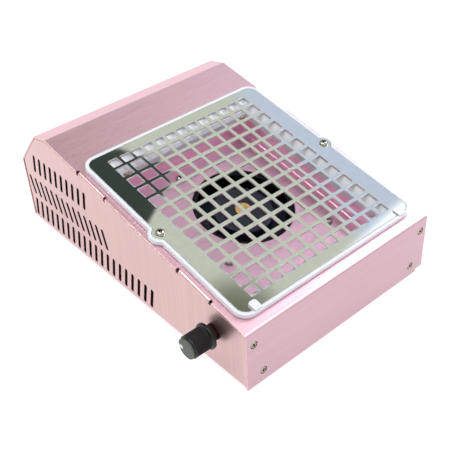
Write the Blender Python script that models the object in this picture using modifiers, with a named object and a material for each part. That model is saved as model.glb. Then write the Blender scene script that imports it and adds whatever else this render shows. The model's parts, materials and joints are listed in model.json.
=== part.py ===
"""Desk nail dust collector: a folded sheet housing with a sloped square-hole grille over a blower.

Frame: +X right, -Y front (the low end), +Z up, origin at the centre of the box on the ground.
Lengths are in millimetres here and become metres when a mesh or a location is made.
Slope frame: x across, y up the slope from the front top edge, z out of the sloped top.
"""
import math

import bmesh
import bpy
from mathutils import Matrix, Vector

MM = 0.001
GAP = 0.3
SHEET = 1.5

# Housing, seen from the side. Heights are above the lower edge of the side panels.
WIDTH = 180.0
LENGTH = 271.4
EDGE_Z = 5.0
FRONT_HEIGHT = 47.4
RIDGE_HEIGHT = 93.4
RIDGE_BACK = 47.5
BREAK_HEIGHT = 89.2
BREAK_BACK = 29.4
REAR_HEIGHT = 56.2
SKIRT_DROP = 2.3
SKIRT_HALF = 82.8
BEND_OUT = 2.5
BEND_IN = 1.0
FLANGE_X = 70.0
FLOOR_FLANGE_X = 74.0

HALF_X = WIDTH / 2
HALF_Y = LENGTH / 2
FRONT_TOP = Vector((0.0, -HALF_Y, EDGE_Z + FRONT_HEIGHT))
RIDGE = (HALF_Y - RIDGE_BACK, EDGE_Z + RIDGE_HEIGHT)
BREAK = (HALF_Y - BREAK_BACK, EDGE_Z + BREAK_HEIGHT)
SLOPE = math.atan2(RIDGE[1] - FRONT_TOP.z, RIDGE[0] + HALF_Y)

# Stitch tabs: start and end up the slope
TABS = ((36.1, 67.4), (152.7, 184.1))
TAB_BEND = 1.7
NOTCH = 2.4
NOTCH_DEPTH = 3.4

# Louvre rows: centre y, centre height, number, slot length, lean in degrees (top towards the front)
LOUVRES = ((79.2, 59.8, 10, 17.6, 11.5), (73.9, 35.1, 14, 18.0, -13.0), (46.8, 12.1, 21, 19.1, 11.5))
LOUVRE_PITCH = 8.0
LOUVRE_WIDTH = 2.5

# Grille, frame and the funnel under it, in the slope frame
GRILLE_Y = 98.8
GRILLE_HALF = (82.0, 87.3)
GRILLE_CORNER = 7.5
GRILLE_TOP = 4.0
HOLE = 10.1
HOLE_PITCH = (12.62, 12.75)
SMALL_HOLE = 8.2
SMALL_PITCH = 10.63
SMALL_ROW_Y = 75.3
EAR_X = 80.7
EAR_RADIUS = 5.6
EAR_FILLET = 3.0
RIM = 3.0
RIM_TOP = 4.27
LEDGE_TOP = GRILLE_TOP - SHEET - GAP
SHEET_CUT = (71.0, 17.5, 181.5)
FUNNEL_TOP = (69.3, 18.4, 180.0)
FUNNEL_LOW = (62.5, 24.7, 167.8)
FUNNEL_KNEE = -3.6
FUNNEL_END = -8.6
FUNNEL_WALL = 1.2
CLIP_X = 71.0
CLIP_SIZE = (6.5, 5.6, 1.2)

# Tray and blower, in the slope frame
TRAY_TOP = -4.0
TRAY_FLOOR = -24.7
TRAY_HALF = 64.0
TRAY_Y = (23.2, 169.3)
TRAY_SCREW_X = 58.0
TRAY_SCREW_Z = -6.4
FAN = (5.5, 104.4)
INLET_RADIUS = 39.6
COVER_INLET_RADIUS = 36.0
FAN_SCREWS = ((-21.3, 50.2), (-46.8, -36.2), (40.1, -50.6))
LUG_RADIUS = 5.0
CASE_WALL = 1.6
COVER_TOP = TRAY_FLOOR - SHEET - GAP
CASE_TOP = COVER_TOP - SHEET - GAP
CASE_END = -50.0
HUB_RADIUS = 24.0
HUB_TOP = -28.6
BLADE_INNER = 37.0
BLADE_OUTER = 44.0
BLADES = 24
BACK_DISC = (-46.0, -47.2)
SHAFT_RADIUS = 1.5

# Knob and potentiometer on the left side panel
KNOB_AT = (-HALF_X, -103.4, EDGE_Z + 29.6)
KNOB_RADIUS = 8.5
SKIRT_RADIUS = 9.8
KNOB_STANDOFF = 5.4
KNOB_LENGTH = 18.5
BUSHING_RADIUS = 3.5

# Rear inlet, base and fasteners
JACK_AT = (-60.0, HALF_Y, EDGE_Z + 18.0)
JACK_FLANGE = 2.0
BASE_Z = 3.2
FOOT_AT = (70.0, 118.0)
PANEL_SCREWS = ((83.5, EDGE_Z + 36.0), (75.6, EDGE_Z + 7.2))
BASE_SCREW_AT = (81.0, 100.0)
SHANK = 1.4
CLEARANCE = 1.8
BOARD_AT = (-12.0, -117.0)

BOX_X = (-HALF_X - KNOB_STANDOFF - KNOB_LENGTH, HALF_X)
BOX_Y = (-HALF_Y, HALF_Y + JACK_FLANGE + GAP)
ORIGIN = Vector((-(BOX_X[0] + BOX_X[1]) / 2, -(BOX_Y[0] + BOX_Y[1]) / 2, 0.0))

for old in list(bpy.data.objects):
    bpy.data.objects.remove(old)

parts = bpy.data.collections.new("nail_dust_collector")
cutters = bpy.data.collections.new("cutters")
for group in (parts, cutters):
    bpy.context.scene.collection.children.link(group)


# Materials

def material(name, colour, roughness, metallic=0.0):
    made = bpy.data.materials.new(name)
    made.use_nodes = True
    shader = made.node_tree.nodes["Principled BSDF"]
    shader.inputs["Base Color"].default_value = (*colour, 1.0)
    shader.inputs["Roughness"].default_value = roughness
    shader.inputs["Metallic"].default_value = metallic
    return made


PINK = material("pink_anodised", (0.78, 0.50, 0.52), 0.35, 1.0)
WHITE = material("white_plastic", (0.90, 0.91, 0.92), 0.45)
MIRROR = material("mirror_steel", (0.75, 0.76, 0.74), 0.08, 1.0)
STEEL = material("screw_steel", (0.62, 0.62, 0.60), 0.25, 1.0)
BRASS = material("brass", (0.72, 0.53, 0.25), 0.3, 1.0)
BLACK = material("black_plastic", (0.012, 0.013, 0.016), 0.4)
KNOB_BLACK = material("knob_black", (0.02, 0.02, 0.022), 0.45)
RUBBER = material("rubber", (0.02, 0.02, 0.02), 0.8)
BOARD = material("board_green", (0.03, 0.16, 0.07), 0.5)
COPPER = material("winding_copper", (0.60, 0.28, 0.12), 0.35, 1.0)
MAGNET = material("magnet_grey", (0.10, 0.10, 0.11), 0.6)
LEAD = material("lead_black", (0.02, 0.02, 0.02), 0.5)


# Empties

def empty(name, location, rotation=(0.0, 0.0, 0.0), parent=None):
    made = bpy.data.objects.new(name, None)
    made.location = Vector(location) * MM
    made.rotation_euler = rotation
    made.parent = parent
    parts.objects.link(made)
    return made


HOUSING = empty("housing_frame", ORIGIN)
SLOPED = empty("slope_frame", FRONT_TOP, (SLOPE, 0.0, 0.0), HOUSING)
FAN_AXIS = empty("fan_axis", (FAN[0], FAN[1], 0.0), parent=SLOPED)
KNOB_AXIS = empty("knob_axis", KNOB_AT, (0.0, -math.pi / 2, 0.0), HOUSING)
JACK_AXIS = empty("jack_axis", JACK_AT, (-math.pi / 2, 0.0, 0.0), HOUSING)


# Outlines: lists of (x, y) points

def arc(centre, radius, start, end, steps):
    angles = [math.radians(start + (end - start) * i / steps) for i in range(steps + 1)]
    return [(centre[0] + radius * math.cos(a), centre[1] + radius * math.sin(a)) for a in angles]


def circle(centre, radius, steps=16):
    return arc(centre, radius, 0, 360, steps)[:-1]


def rounded(points, radii, steps=3, closed=True):
    """Replace each corner that has a radius by an arc."""
    out = []
    for i, (point, radius) in enumerate(zip(points, radii)):
        inner = closed or 0 < i < len(points) - 1
        if not inner or radius <= 0:
            out.append(point)
            continue
        corner = Vector(point)
        before = (Vector(points[i - 1]) - corner).normalized()
        after = (Vector(points[(i + 1) % len(points)]) - corner).normalized()
        half = before.angle(after) / 2
        middle = corner + (before + after).normalized() * (radius / math.sin(half))
        first = corner + before * (radius / math.tan(half)) - middle
        last = corner + after * (radius / math.tan(half)) - middle
        turn = first.angle_signed(last)
        for k in range(steps + 1):
            spoke = first.copy()
            spoke.rotate(Matrix.Rotation(-turn * k / steps, 2))
            out.append(tuple(middle + spoke))
    return out


def offset_path(points, distance):
    """Move an open path to its right-hand side."""
    lines = []
    for a, b in zip(points, points[1:]):
        along = (Vector(b) - Vector(a)).normalized()
        shift = Vector((along.y, -along.x)) * distance
        lines.append((Vector(a) + shift, along))
    out = [tuple(lines[0][0])]
    for (p, d), (q, e) in zip(lines, lines[1:]):
        t = ((q.x - p.x) * e.y - (q.y - p.y) * e.x) / (d.x * e.y - d.y * e.x)
        out.append(tuple(p + d * t))
    end = Vector(points[-1]) - Vector(points[-2])
    out.append(tuple(lines[-1][0] + lines[-1][1] * end.length))
    return out


def box_outline(x0, x1, y0, y1, radius=0.0, steps=3):
    corners = [(x0, y0), (x1, y0), (x1, y1), (x0, y1)]
    return rounded(corners, [radius] * 4, steps) if radius else corners


def eared_outline(grow):
    """The grille's outline grown by an amount: a rounded box with a round ear at each side's middle."""
    half_x, half_y = GRILLE_HALF[0] + grow, GRILLE_HALF[1] + grow
    corner, ear, fillet = GRILLE_CORNER + grow, EAR_RADIUS + grow, EAR_FILLET
    reach = half_x + fillet - EAR_X
    rise = math.sqrt((ear + fillet) ** 2 - reach ** 2)
    lean = math.degrees(math.atan2(rise, reach))
    right = arc((half_x - corner, GRILLE_Y - half_y + corner), corner, -90, 0, 4)
    right += arc((half_x + fillet, GRILLE_Y - rise), fillet, 180, 180 - lean, 2)
    right += arc((EAR_X, GRILLE_Y), ear, -lean, lean, 6)[1:-1]
    right += arc((half_x + fillet, GRILLE_Y + rise), fillet, 180 + lean, 180, 2)
    right += arc((half_x - corner, GRILLE_Y + half_y - corner), corner, 0, 90, 4)
    return right + [(-x, y) for x, y in reversed(right)]


def capsule(centre, length, width, lean, steps=2):
    """A slot with round ends, leaning from upright by an angle in degrees, top towards -x."""
    radius = width / 2
    run = length / 2 - radius
    points = arc((0, run), radius, 0, 180, steps) + arc((0, -run), radius, 180, 360, steps)
    turn = math.radians(lean)
    return [(centre[0] + x * math.cos(turn) - y * math.sin(turn),
             centre[1] + x * math.sin(turn) + y * math.cos(turn)) for x, y in points]


# Solids

PLANES = {"XY": Matrix.Identity(4),
          "XZ": Matrix(((1, 0, 0, 0), (0, 0, 1, 0), (0, 1, 0, 0), (0, 0, 0, 1))),
          "YZ": Matrix(((0, 0, 1, 0), (1, 0, 0, 0), (0, 1, 0, 0), (0, 0, 0, 1)))}


def close_mesh(mesh):
    work = bmesh.new()
    work.from_mesh(mesh)
    bmesh.ops.remove_doubles(work, verts=work.verts, dist=0.000002)
    bmesh.ops.recalc_face_normals(work, faces=work.faces)
    work.to_mesh(mesh)
    work.free()


def slab(name, outlines, low, high, plane="XY"):
    """A mesh between two levels: a filled 2D curve whose inner outlines are holes."""
    curve = bpy.data.curves.new(name + "_outline", "CURVE")
    curve.dimensions = "2D"
    curve.fill_mode = "BOTH"
    curve.extrude = (high - low) / 2 * MM
    for outline in outlines:
        spline = curve.splines.new("POLY")
        spline.points.add(len(outline) - 1)
        for point, (x, y) in zip(spline.points, outline):
            point.co = (x * MM, y * MM, 0.0, 1.0)
        spline.use_cyclic_u = True
    guide = bpy.data.objects.new(name + "_guide", curve)
    guide.location.z = (low + high) / 2 * MM
    cutters.objects.link(guide)
    bpy.context.view_layer.update()
    graph = bpy.context.evaluated_depsgraph_get()
    mesh = bpy.data.meshes.new_from_object(guide.evaluated_get(graph))
    mesh.transform(PLANES[plane] @ guide.matrix_world)
    bpy.data.objects.remove(guide)
    close_mesh(mesh)
    mesh.name = name
    return mesh


def turned(name, profile, steps=24, ring=False):
    """A mesh turned about Z from (radius, height) points that run down the outer side."""
    mesh = bpy.data.meshes.new(name + "_profile")
    points = [(r * MM, 0.0, z * MM) for r, z in profile]
    edges = [(i, i + 1) for i in range(len(points) - 1)]
    if ring:
        edges.append((len(points) - 1, 0))
    mesh.from_pydata(points, edges, [])
    guide = bpy.data.objects.new(name + "_guide", mesh)
    cutters.objects.link(guide)
    screw = guide.modifiers.new("turn", "SCREW")
    screw.angle = math.tau
    screw.steps = screw.render_steps = steps
    screw.use_merge_vertices = True
    screw.merge_threshold = 0.00001
    return baked(name, guide)


def baked(name, guide):
    """The mesh of an object with its modifiers, and the object is removed."""
    bpy.context.view_layer.update()
    graph = bpy.context.evaluated_depsgraph_get()
    mesh = bpy.data.meshes.new_from_object(guide.evaluated_get(graph))
    mesh.name = name
    bpy.data.objects.remove(guide)
    close_mesh(mesh)
    return mesh


def place(name, mesh, made_of, parent=HOUSING, location=(0, 0, 0), rotation=(0, 0, 0), group=parts):
    """Put a mesh in the scene as a named object."""
    made = bpy.data.objects.new(name, mesh)
    made.parent = parent
    made.location = Vector(location) * MM
    made.rotation_euler = rotation
    if made_of is not None and not mesh.materials:
        mesh.materials.append(made_of)
    group.objects.link(made)
    mesh.shade_smooth()
    mesh.set_sharp_from_angle(angle=math.radians(35))
    return made


def cutter(name, mesh, parent=HOUSING, location=(0, 0, 0), rotation=(0, 0, 0)):
    made = place(name, mesh, None, parent, location, rotation, cutters)
    made.hide_render = True
    made.display_type = "WIRE"
    return made


def boolean(target, operation, other):
    change = target.modifiers.new(other.name, "BOOLEAN")
    change.operation = operation
    change.solver = "EXACT"
    change.object = other


def merged(name, meshes):
    """Several closed meshes in one, for a cutter."""
    work = bmesh.new()
    for mesh in meshes:
        work.from_mesh(mesh)
    mesh = bpy.data.meshes.new(name)
    work.to_mesh(mesh)
    work.free()
    return mesh


def box(name, x, y, z):
    return slab(name, [box_outline(x[0], x[1], y[0], y[1])], z[0], z[1])


# Fasteners: the seat is at height 0 and the head points up

def recessed(name, mesh, recess_top, recess_depth, arm):
    """Cut a cross recess into a screw's head."""
    wide, tip = arm * 0.25, arm * 0.19
    cross = [(arm, -tip), (arm, tip), (wide, wide), (tip, arm), (-tip, arm), (-wide, wide),
             (-arm, tip), (-arm, -tip), (-wide, -wide), (-tip, -arm), (tip, -arm), (wide, -wide)]
    tool = cutter(name + "_recess", slab(name + "_cross", [cross], recess_top - recess_depth,
                                         recess_top + 1.0), None)
    guide = bpy.data.objects.new(name + "_guide", mesh)
    cutters.objects.link(guide)
    boolean(guide, "DIFFERENCE", tool)
    return baked(name, guide)


def pan_screw(name, head, height, length):
    profile = [(0, height), (head * 0.72, height * 0.88), (head, height * 0.3), (head, 0), (SHANK, 0),
               (SHANK, -length), (0, -length)]
    return recessed(name, turned(name, profile, 12), height, height * 0.62, head * 0.6)


def flat_screw(name, head, height, length):
    profile = [(0, 0), (head, 0), (SHANK, -height), (SHANK, -length), (0, -length)]
    return recessed(name, turned(name, profile, 12), 0, height * 0.7, head * 0.55)


# Housing shell: one folded sheet

def housing_profile():
    skirt = EDGE_Z - SKIRT_DROP
    return [(-HALF_Y, skirt), (-HALF_Y, FRONT_TOP.z), RIDGE, BREAK, (HALF_Y, EDGE_Z + REAR_HEIGHT),
            (HALF_Y, skirt)]


def cover_sheet():
    """Front, sloped top, ridge and rear, as one bent strip."""
    outer = housing_profile()
    inner = offset_path(outer, SHEET)
    bends = len(outer) - 2
    strip = rounded(outer, [0] + [BEND_OUT] * bends + [0], 3, closed=False)
    strip += reversed(rounded(inner, [0] + [BEND_IN] * bends + [0], 3, closed=False))
    return slab("cover_sheet", [strip], -HALF_X, HALF_X, "YZ")


def side_sheet():
    """The right-hand side with its front and rear flanges, as a strip that is C-shaped from above."""
    face = HALF_Y - SHEET - GAP
    outer = [(FLANGE_X, -face), (HALF_X, -face), (HALF_X, face), (FLANGE_X, face)]
    inner = offset_path(outer, -SHEET)
    strip = rounded(outer, [0, BEND_OUT, BEND_OUT, 0], 3, closed=False)
    strip += reversed(rounded(inner, [0, BEND_IN, BEND_IN, 0], 3, closed=False))
    return slab("side_sheet", [strip], EDGE_Z, RIDGE[1] + SHEET)


def side_silhouette():
    """Where the sides stay: under the cover sheet, above the base."""
    inner = offset_path(housing_profile(), SHEET + GAP)
    inner[0] = (inner[0][0] - GAP / 2, EDGE_Z)
    inner[1] = (inner[1][0] - GAP / 2, inner[1][1])
    inner[-1] = (inner[-1][0] + GAP / 2, EDGE_Z)
    inner[-2] = (inner[-2][0] + GAP / 2, inner[-2][1])
    return slab("side_silhouette", [inner], 0.0, HALF_X + 1.0, "YZ")


def louvre_cutter():
    slots = []
    for centre_y, centre_z, count, length, lean in LOUVRES:
        for i in range(count):
            y = centre_y + (i - (count - 1) / 2) * LOUVRE_PITCH
            slots.append(slab("slot", [capsule((y, EDGE_Z + centre_z), length, LOUVRE_WIDTH, lean)],
                              HALF_X - 4.0, HALF_X + 4.0, "YZ"))
    return merged("louvres", slots)


def floor_flange():
    """The inward flange along a side's lower edge, with holes for the base screws."""
    holes = [circle((BASE_SCREW_AT[0], y), CLEARANCE, 12) for y in (-BASE_SCREW_AT[1], BASE_SCREW_AT[1])]
    plate = box_outline(FLOOR_FLANGE_X, HALF_X - SHEET / 2, -125.0, 125.0)
    return slab("floor_flange", [plate] + holes, EDGE_Z, EDGE_Z + SHEET)


def build_housing():
    sides = cutter("side_panels", side_sheet())
    boolean(sides, "INTERSECT", cutter("silhouette", side_silhouette()))
    boolean(sides, "DIFFERENCE", cutter("louvre_slots", louvre_cutter()))
    boolean(sides, "UNION", cutter("floor_flanges", floor_flange()))
    mirror = sides.modifiers.new("left_side", "MIRROR")
    mirror.merge_threshold = 0.00001

    shell = place("housing_shell", cover_sheet(), PINK)
    boolean(shell, "UNION", sides)

    stitches = []
    rounding = []
    notches = []
    round_outline = [(HALF_X + 1.0, 1.0), (HALF_X - TAB_BEND, 1.0)]
    round_outline += reversed(arc((HALF_X - TAB_BEND, -TAB_BEND), TAB_BEND, 0, 90, 5))
    round_outline += [(HALF_X + 1.0, -TAB_BEND)]
    for start, end in TABS:
        stitches.append(box("stitch", (HALF_X - SHEET + 0.05, HALF_X - 0.05), (start - 0.4, end + 0.4),
                            (-SHEET - GAP - 0.6, -SHEET + 0.6)))
        rounding.append(slab("corner_round", [round_outline], start - 0.5, end + 0.5, "XZ"))
        for at in (start - NOTCH / 2, end + NOTCH / 2):
            notches.append(box("notch", (HALF_X - NOTCH, HALF_X + 1.0), (at - NOTCH / 2, at + NOTCH / 2),
                               (-NOTCH_DEPTH, 1.0)))
    for name, pieces, operation in (("stitches", stitches, "UNION"), ("rounds", rounding, "DIFFERENCE"),
                                    ("notches", notches, "DIFFERENCE")):
        tool = cutter(name, merged(name, pieces), SLOPED)
        both = tool.modifiers.new("both_sides", "MIRROR")
        both.merge_threshold = 0.00001
        boolean(shell, operation, tool)

    opening = [box_outline(-SHEET_CUT[0], SHEET_CUT[0], SHEET_CUT[1], SHEET_CUT[2], 6.0)]
    boolean(shell, "DIFFERENCE", cutter("top_opening", slab("top_opening", opening, -4.0, 4.0), SLOPED))
    ears = [slab("ear_hole", [circle((side * EAR_X, GRILLE_Y), CLEARANCE, 12)], -4.0, 4.0)
            for side in (-1, 1)]
    boolean(shell, "DIFFERENCE", cutter("ear_holes", merged("ear_holes", ears), SLOPED))

    skirts = [box("skirt_notch", (side * (HALF_X + 1.0), side * SKIRT_HALF)[::side],
                  (end * (HALF_Y + 1.0), end * (HALF_Y - SHEET - GAP / 2))[::end], (0.0, EDGE_Z + 0.02))
              for side, end in ((1, -1), (1, 1), (-1, 1))]
    boolean(shell, "DIFFERENCE", cutter("skirt_notches", merged("skirt_notches", skirts)))

    sinks = []
    sink = [(3.5, 0.6), (3.5, 0.35), (2.9 + GAP, 0.0), (CLEARANCE, -1.3), (CLEARANCE, -5.0)]
    profile = [(0, 0.6)] + sink + [(0, -5.0)]
    for face, tilt in ((-HALF_Y, math.pi / 2), (HALF_Y, -math.pi / 2)):
        for x, z in PANEL_SCREWS:
            for side in (-1, 1):
                mesh = turned("sink", profile, 12)
                mesh.transform(Matrix.Translation(Vector((side * x, face, z)) * MM)
                               @ Matrix.Rotation(tilt, 4, "X"))
                sinks.append(mesh)
    boolean(shell, "DIFFERENCE", cutter("screw_sinks", merged("screw_sinks", sinks)))

    hole = slab("knob_hole", [circle((0, 0), BUSHING_RADIUS + GAP, 16)], -4.0, 4.0)
    boolean(shell, "DIFFERENCE", cutter("knob_hole", hole, KNOB_AXIS))
    hole = slab("jack_hole", [circle((0, 0), 5.5 + GAP, 16)], -3.0, 4.0)
    boolean(shell, "DIFFERENCE", cutter("jack_hole", hole, JACK_AXIS))


def build_base():
    holes = [circle((sx * BASE_SCREW_AT[0], sy * BASE_SCREW_AT[1]), CLEARANCE, 12)
             for sx in (-1, 1) for sy in (-1, 1)]
    inset = SHEET + 2 * GAP
    plate = box_outline(-HALF_X + 0.8, HALF_X - 0.8, -HALF_Y + inset, HALF_Y - inset)
    place("base_plate", slab("base_plate", [plate] + holes, BASE_Z, BASE_Z + SHEET), PINK)
    foot = turned("rubber_foot", [(0, BASE_Z - GAP), (7.0, BASE_Z - GAP), (6.6, 0.5), (6.0, 0.0), (0, 0.0)], 20)
    screw = pan_screw("base_screw", 2.8, 1.6, 6.0)
    corners = [(-1, -1), (1, -1), (-1, 1), (1, 1)]
    for i, (sx, sy) in enumerate(corners, 1):
        place(f"rubber_foot_{i}", foot, RUBBER, location=(sx * FOOT_AT[0], sy * FOOT_AT[1], 0))
        place(f"base_screw_{i}", screw, STEEL, rotation=(math.pi, 0, 0),
              location=(sx * BASE_SCREW_AT[0], sy * BASE_SCREW_AT[1], BASE_Z - GAP / 2))


def build_panel_screws():
    screw = flat_screw("panel_screw", 2.9, 1.5, 7.0)
    for word, face, tilt in (("front", -HALF_Y, math.pi / 2), ("rear", HALF_Y, -math.pi / 2)):
        number = 0
        for x, z in PANEL_SCREWS:
            for side in (-1, 1):
                number += 1
                place(f"{word}_screw_{number}", screw, STEEL, location=(side * x, face, z),
                      rotation=(tilt, 0, 0))


# White frame with its funnel, the grille and its screws

def funnel_ring(values, z):
    half, low, high = values
    return [Vector((x * MM, y * MM, z * MM)) for x, y in box_outline(-half, half, low, high, 1.8, 2)]


def funnel_mesh(grow):
    """A loft through the funnel's rectangles, from the ledge down to its lower edge."""
    levels = [(FUNNEL_TOP, LEDGE_TOP + 1.0 - grow), (FUNNEL_TOP, LEDGE_TOP - grow), (FUNNEL_LOW, FUNNEL_KNEE),
              (FUNNEL_LOW, FUNNEL_END - 1.0 + grow)]
    work = bmesh.new()
    rings = []
    for (half, low, high), z in levels:
        ring = funnel_ring((half + grow, low - grow, high + grow), z)
        rings.append([work.verts.new(point) for point in ring])
    for upper, lower in zip(rings, rings[1:]):
        for i in range(len(upper)):
            j = (i + 1) % len(upper)
            work.faces.new((upper[i], lower[i], lower[j], upper[j]))
    work.faces.new(rings[0])
    work.faces.new(list(reversed(rings[-1])))
    mesh = bpy.data.meshes.new("funnel")
    work.to_mesh(mesh)
    work.free()
    close_mesh(mesh)
    return mesh


def build_frame():
    frame = place("filter_frame", slab("filter_frame", [eared_outline(RIM + GAP)], GAP, RIM_TOP), WHITE, SLOPED)
    boolean(frame, "UNION", cutter("funnel_outer", funnel_mesh(FUNNEL_WALL), SLOPED))
    boolean(frame, "DIFFERENCE", cutter("funnel_inner", funnel_mesh(0.0), SLOPED))
    pocket = slab("grille_pocket", [eared_outline(GAP)], LEDGE_TOP, RIM_TOP + 2.0)
    boolean(frame, "DIFFERENCE", cutter("grille_pocket", pocket, SLOPED))
    front = GRILLE_Y - GRILLE_HALF[1] - RIM
    clips = []
    for side in (-1, 1):
        low = front + 0.6
        high = GRILLE_Y - GRILLE_HALF[1] + CLIP_SIZE[1]
        half = CLIP_SIZE[0] / 2
        outline = rounded([(side * CLIP_X - half, low), (side * CLIP_X + half, low),
                           (side * CLIP_X + half, high), (side * CLIP_X - half, high)], [0, 0, 1.6, 1.6])
        clips.append(slab("clip", [outline], GRILLE_TOP + GAP, RIM_TOP + CLIP_SIZE[2]))
        root = box_outline(side * CLIP_X - half + 0.1, side * CLIP_X + half - 0.1, low + 0.1,
                           GRILLE_Y - GRILLE_HALF[1] - GAP - 0.1)
        clips.append(slab("clip_root", [root], RIM_TOP - 0.5, RIM_TOP + 0.5))
    for i, mesh in enumerate(clips):
        boolean(frame, "UNION", cutter(f"clip_piece_{i}", mesh, SLOPED))
    holes = [slab("ear_bolt", [circle((side * EAR_X, GRILLE_Y), CLEARANCE, 12)], -1.0, 4.0)
             for side in (-1, 1)]
    boolean(frame, "DIFFERENCE", cutter("frame_ear_holes", merged("frame_ear_holes", holes), SLOPED))
    boolean(frame, "DIFFERENCE", cutter("frame_screw_holes", tray_screw_holes(), SLOPED))


def square(centre, size):
    half = size / 2
    return box_outline(centre[0] - half, centre[0] + half, centre[1] - half, centre[1] + half)


def build_grille():
    holes = [square((c * HOLE_PITCH[0], GRILLE_Y + r * HOLE_PITCH[1]), HOLE)
             for r in range(-5, 6) for c in range(-5, 6)]
    for side in (-1, 1):
        holes += [square((c * SMALL_PITCH, GRILLE_Y + side * SMALL_ROW_Y), SMALL_HOLE) for c in range(-6, 7)]
        holes.append(circle((side * EAR_X, GRILLE_Y), CLEARANCE, 12))
    place("grille_plate", slab("grille_plate", [eared_outline(0.0)] + holes, GRILLE_TOP - SHEET, GRILLE_TOP),
          MIRROR, SLOPED)
    screw = pan_screw("grille_screw", 3.4, 2.2, 9.0)
    for word, side in (("left", -1), ("right", 1)):
        place(f"grille_screw_{word}", screw, STEEL, SLOPED, (side * EAR_X, GRILLE_Y, GRILLE_TOP + GAP / 2))


# Tray under the funnel

def tray_screw_spots():
    return [(side * TRAY_SCREW_X, y, turn) for y, turn in ((FUNNEL_LOW[1], -1), (FUNNEL_LOW[2], 1))
            for side in (-1, 1)]


def tray_screw_holes():
    pegs = []
    for x, y, _ in tray_screw_spots():
        pegs.append(slab("peg", [circle((x, TRAY_SCREW_Z), CLEARANCE, 12)], y - 6.0, y + 6.0, "XZ"))
    return merged("tray_screw_holes", pegs)


def build_tray():
    outer = box_outline(-TRAY_HALF - SHEET, TRAY_HALF + SHEET, TRAY_Y[0] - SHEET, TRAY_Y[1] + SHEET, 3.5, 2)
    tray = place("dust_tray", slab("dust_tray", [outer], TRAY_FLOOR - SHEET, TRAY_TOP), PINK, SLOPED)
    inner = box_outline(-TRAY_HALF, TRAY_HALF, TRAY_Y[0], TRAY_Y[1], 2.0, 2)
    boolean(tray, "DIFFERENCE", cutter("tray_inside", slab("tray_inside", [inner], TRAY_FLOOR, TRAY_TOP + 2.0),
                                       SLOPED))
    holes = [slab("inlet", [circle(FAN, INLET_RADIUS, 36)], TRAY_FLOOR - 4.0, TRAY_FLOOR + 4.0)]
    for x, y in FAN_SCREWS:
        holes.append(slab("bolt", [circle((FAN[0] + x, FAN[1] + y), CLEARANCE, 12)], TRAY_FLOOR - 4.0,
                          TRAY_FLOOR + 4.0))
    boolean(tray, "DIFFERENCE", cutter("tray_holes", merged("tray_holes", holes), SLOPED))
    boolean(tray, "DIFFERENCE", cutter("tray_bolt_holes", tray_screw_holes(), SLOPED))
    screw = pan_screw("tray_screw", 2.4, 1.5, 5.5)
    for i, (x, y, turn) in enumerate(tray_screw_spots(), 1):
        place(f"tray_screw_{i}", screw, BRASS, SLOPED, (x, y - turn * GAP / 2, TRAY_SCREW_Z),
              (turn * math.pi / 2, 0, 0))


# Blower: cover, case, impeller and motor, in the fan's own frame

def scroll(grow):
    """The volute outline about the fan axis, with its outlet facing up the slope."""
    start, end, steps = 55, 360, 24
    points = []
    for i in range(steps + 1):
        degrees = start + (end - start) * i / steps
        radius = 45.6 + (degrees - start) * 0.04 + grow
        points += arc((0, 0), radius, degrees, degrees, 1)[:1]
    outlet_x = points[-1][0]
    points += [(outlet_x, 54.0), (30.0 - grow, 54.0), (30.0 - grow, 42.0)]
    return points


def lug(x, y):
    """A capsule from inside the scroll wall out to a fixing hole."""
    reach = math.hypot(x, y)
    along = math.degrees(math.atan2(y, x))
    inner = 45.5
    length = reach - inner + 2 * LUG_RADIUS
    middle = (inner + reach) / 2
    centre = (middle * math.cos(math.radians(along)), middle * math.sin(math.radians(along)))
    return capsule(centre, length, 2 * LUG_RADIUS, along - 90, 5)


def build_cover():
    cover = place("fan_cover", slab("fan_cover", [scroll(CASE_WALL)], COVER_TOP - SHEET, COVER_TOP), BLACK,
                  FAN_AXIS)
    for i, (x, y) in enumerate(FAN_SCREWS, 1):
        boolean(cover, "UNION", cutter(f"cover_lug_{i}", slab("cover_lug", [lug(x, y)], COVER_TOP - SHEET,
                                                              COVER_TOP), FAN_AXIS))
    holes = [slab("eye", [circle((0, 0), COVER_INLET_RADIUS, 36)], COVER_TOP - 5.0, COVER_TOP + 2.0)]
    holes += [slab("lug_hole", [circle(at, CLEARANCE, 12)], COVER_TOP - 5.0, COVER_TOP + 2.0)
              for at in FAN_SCREWS]
    boolean(cover, "DIFFERENCE", cutter("cover_holes", merged("cover_holes", holes), FAN_AXIS))


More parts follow.
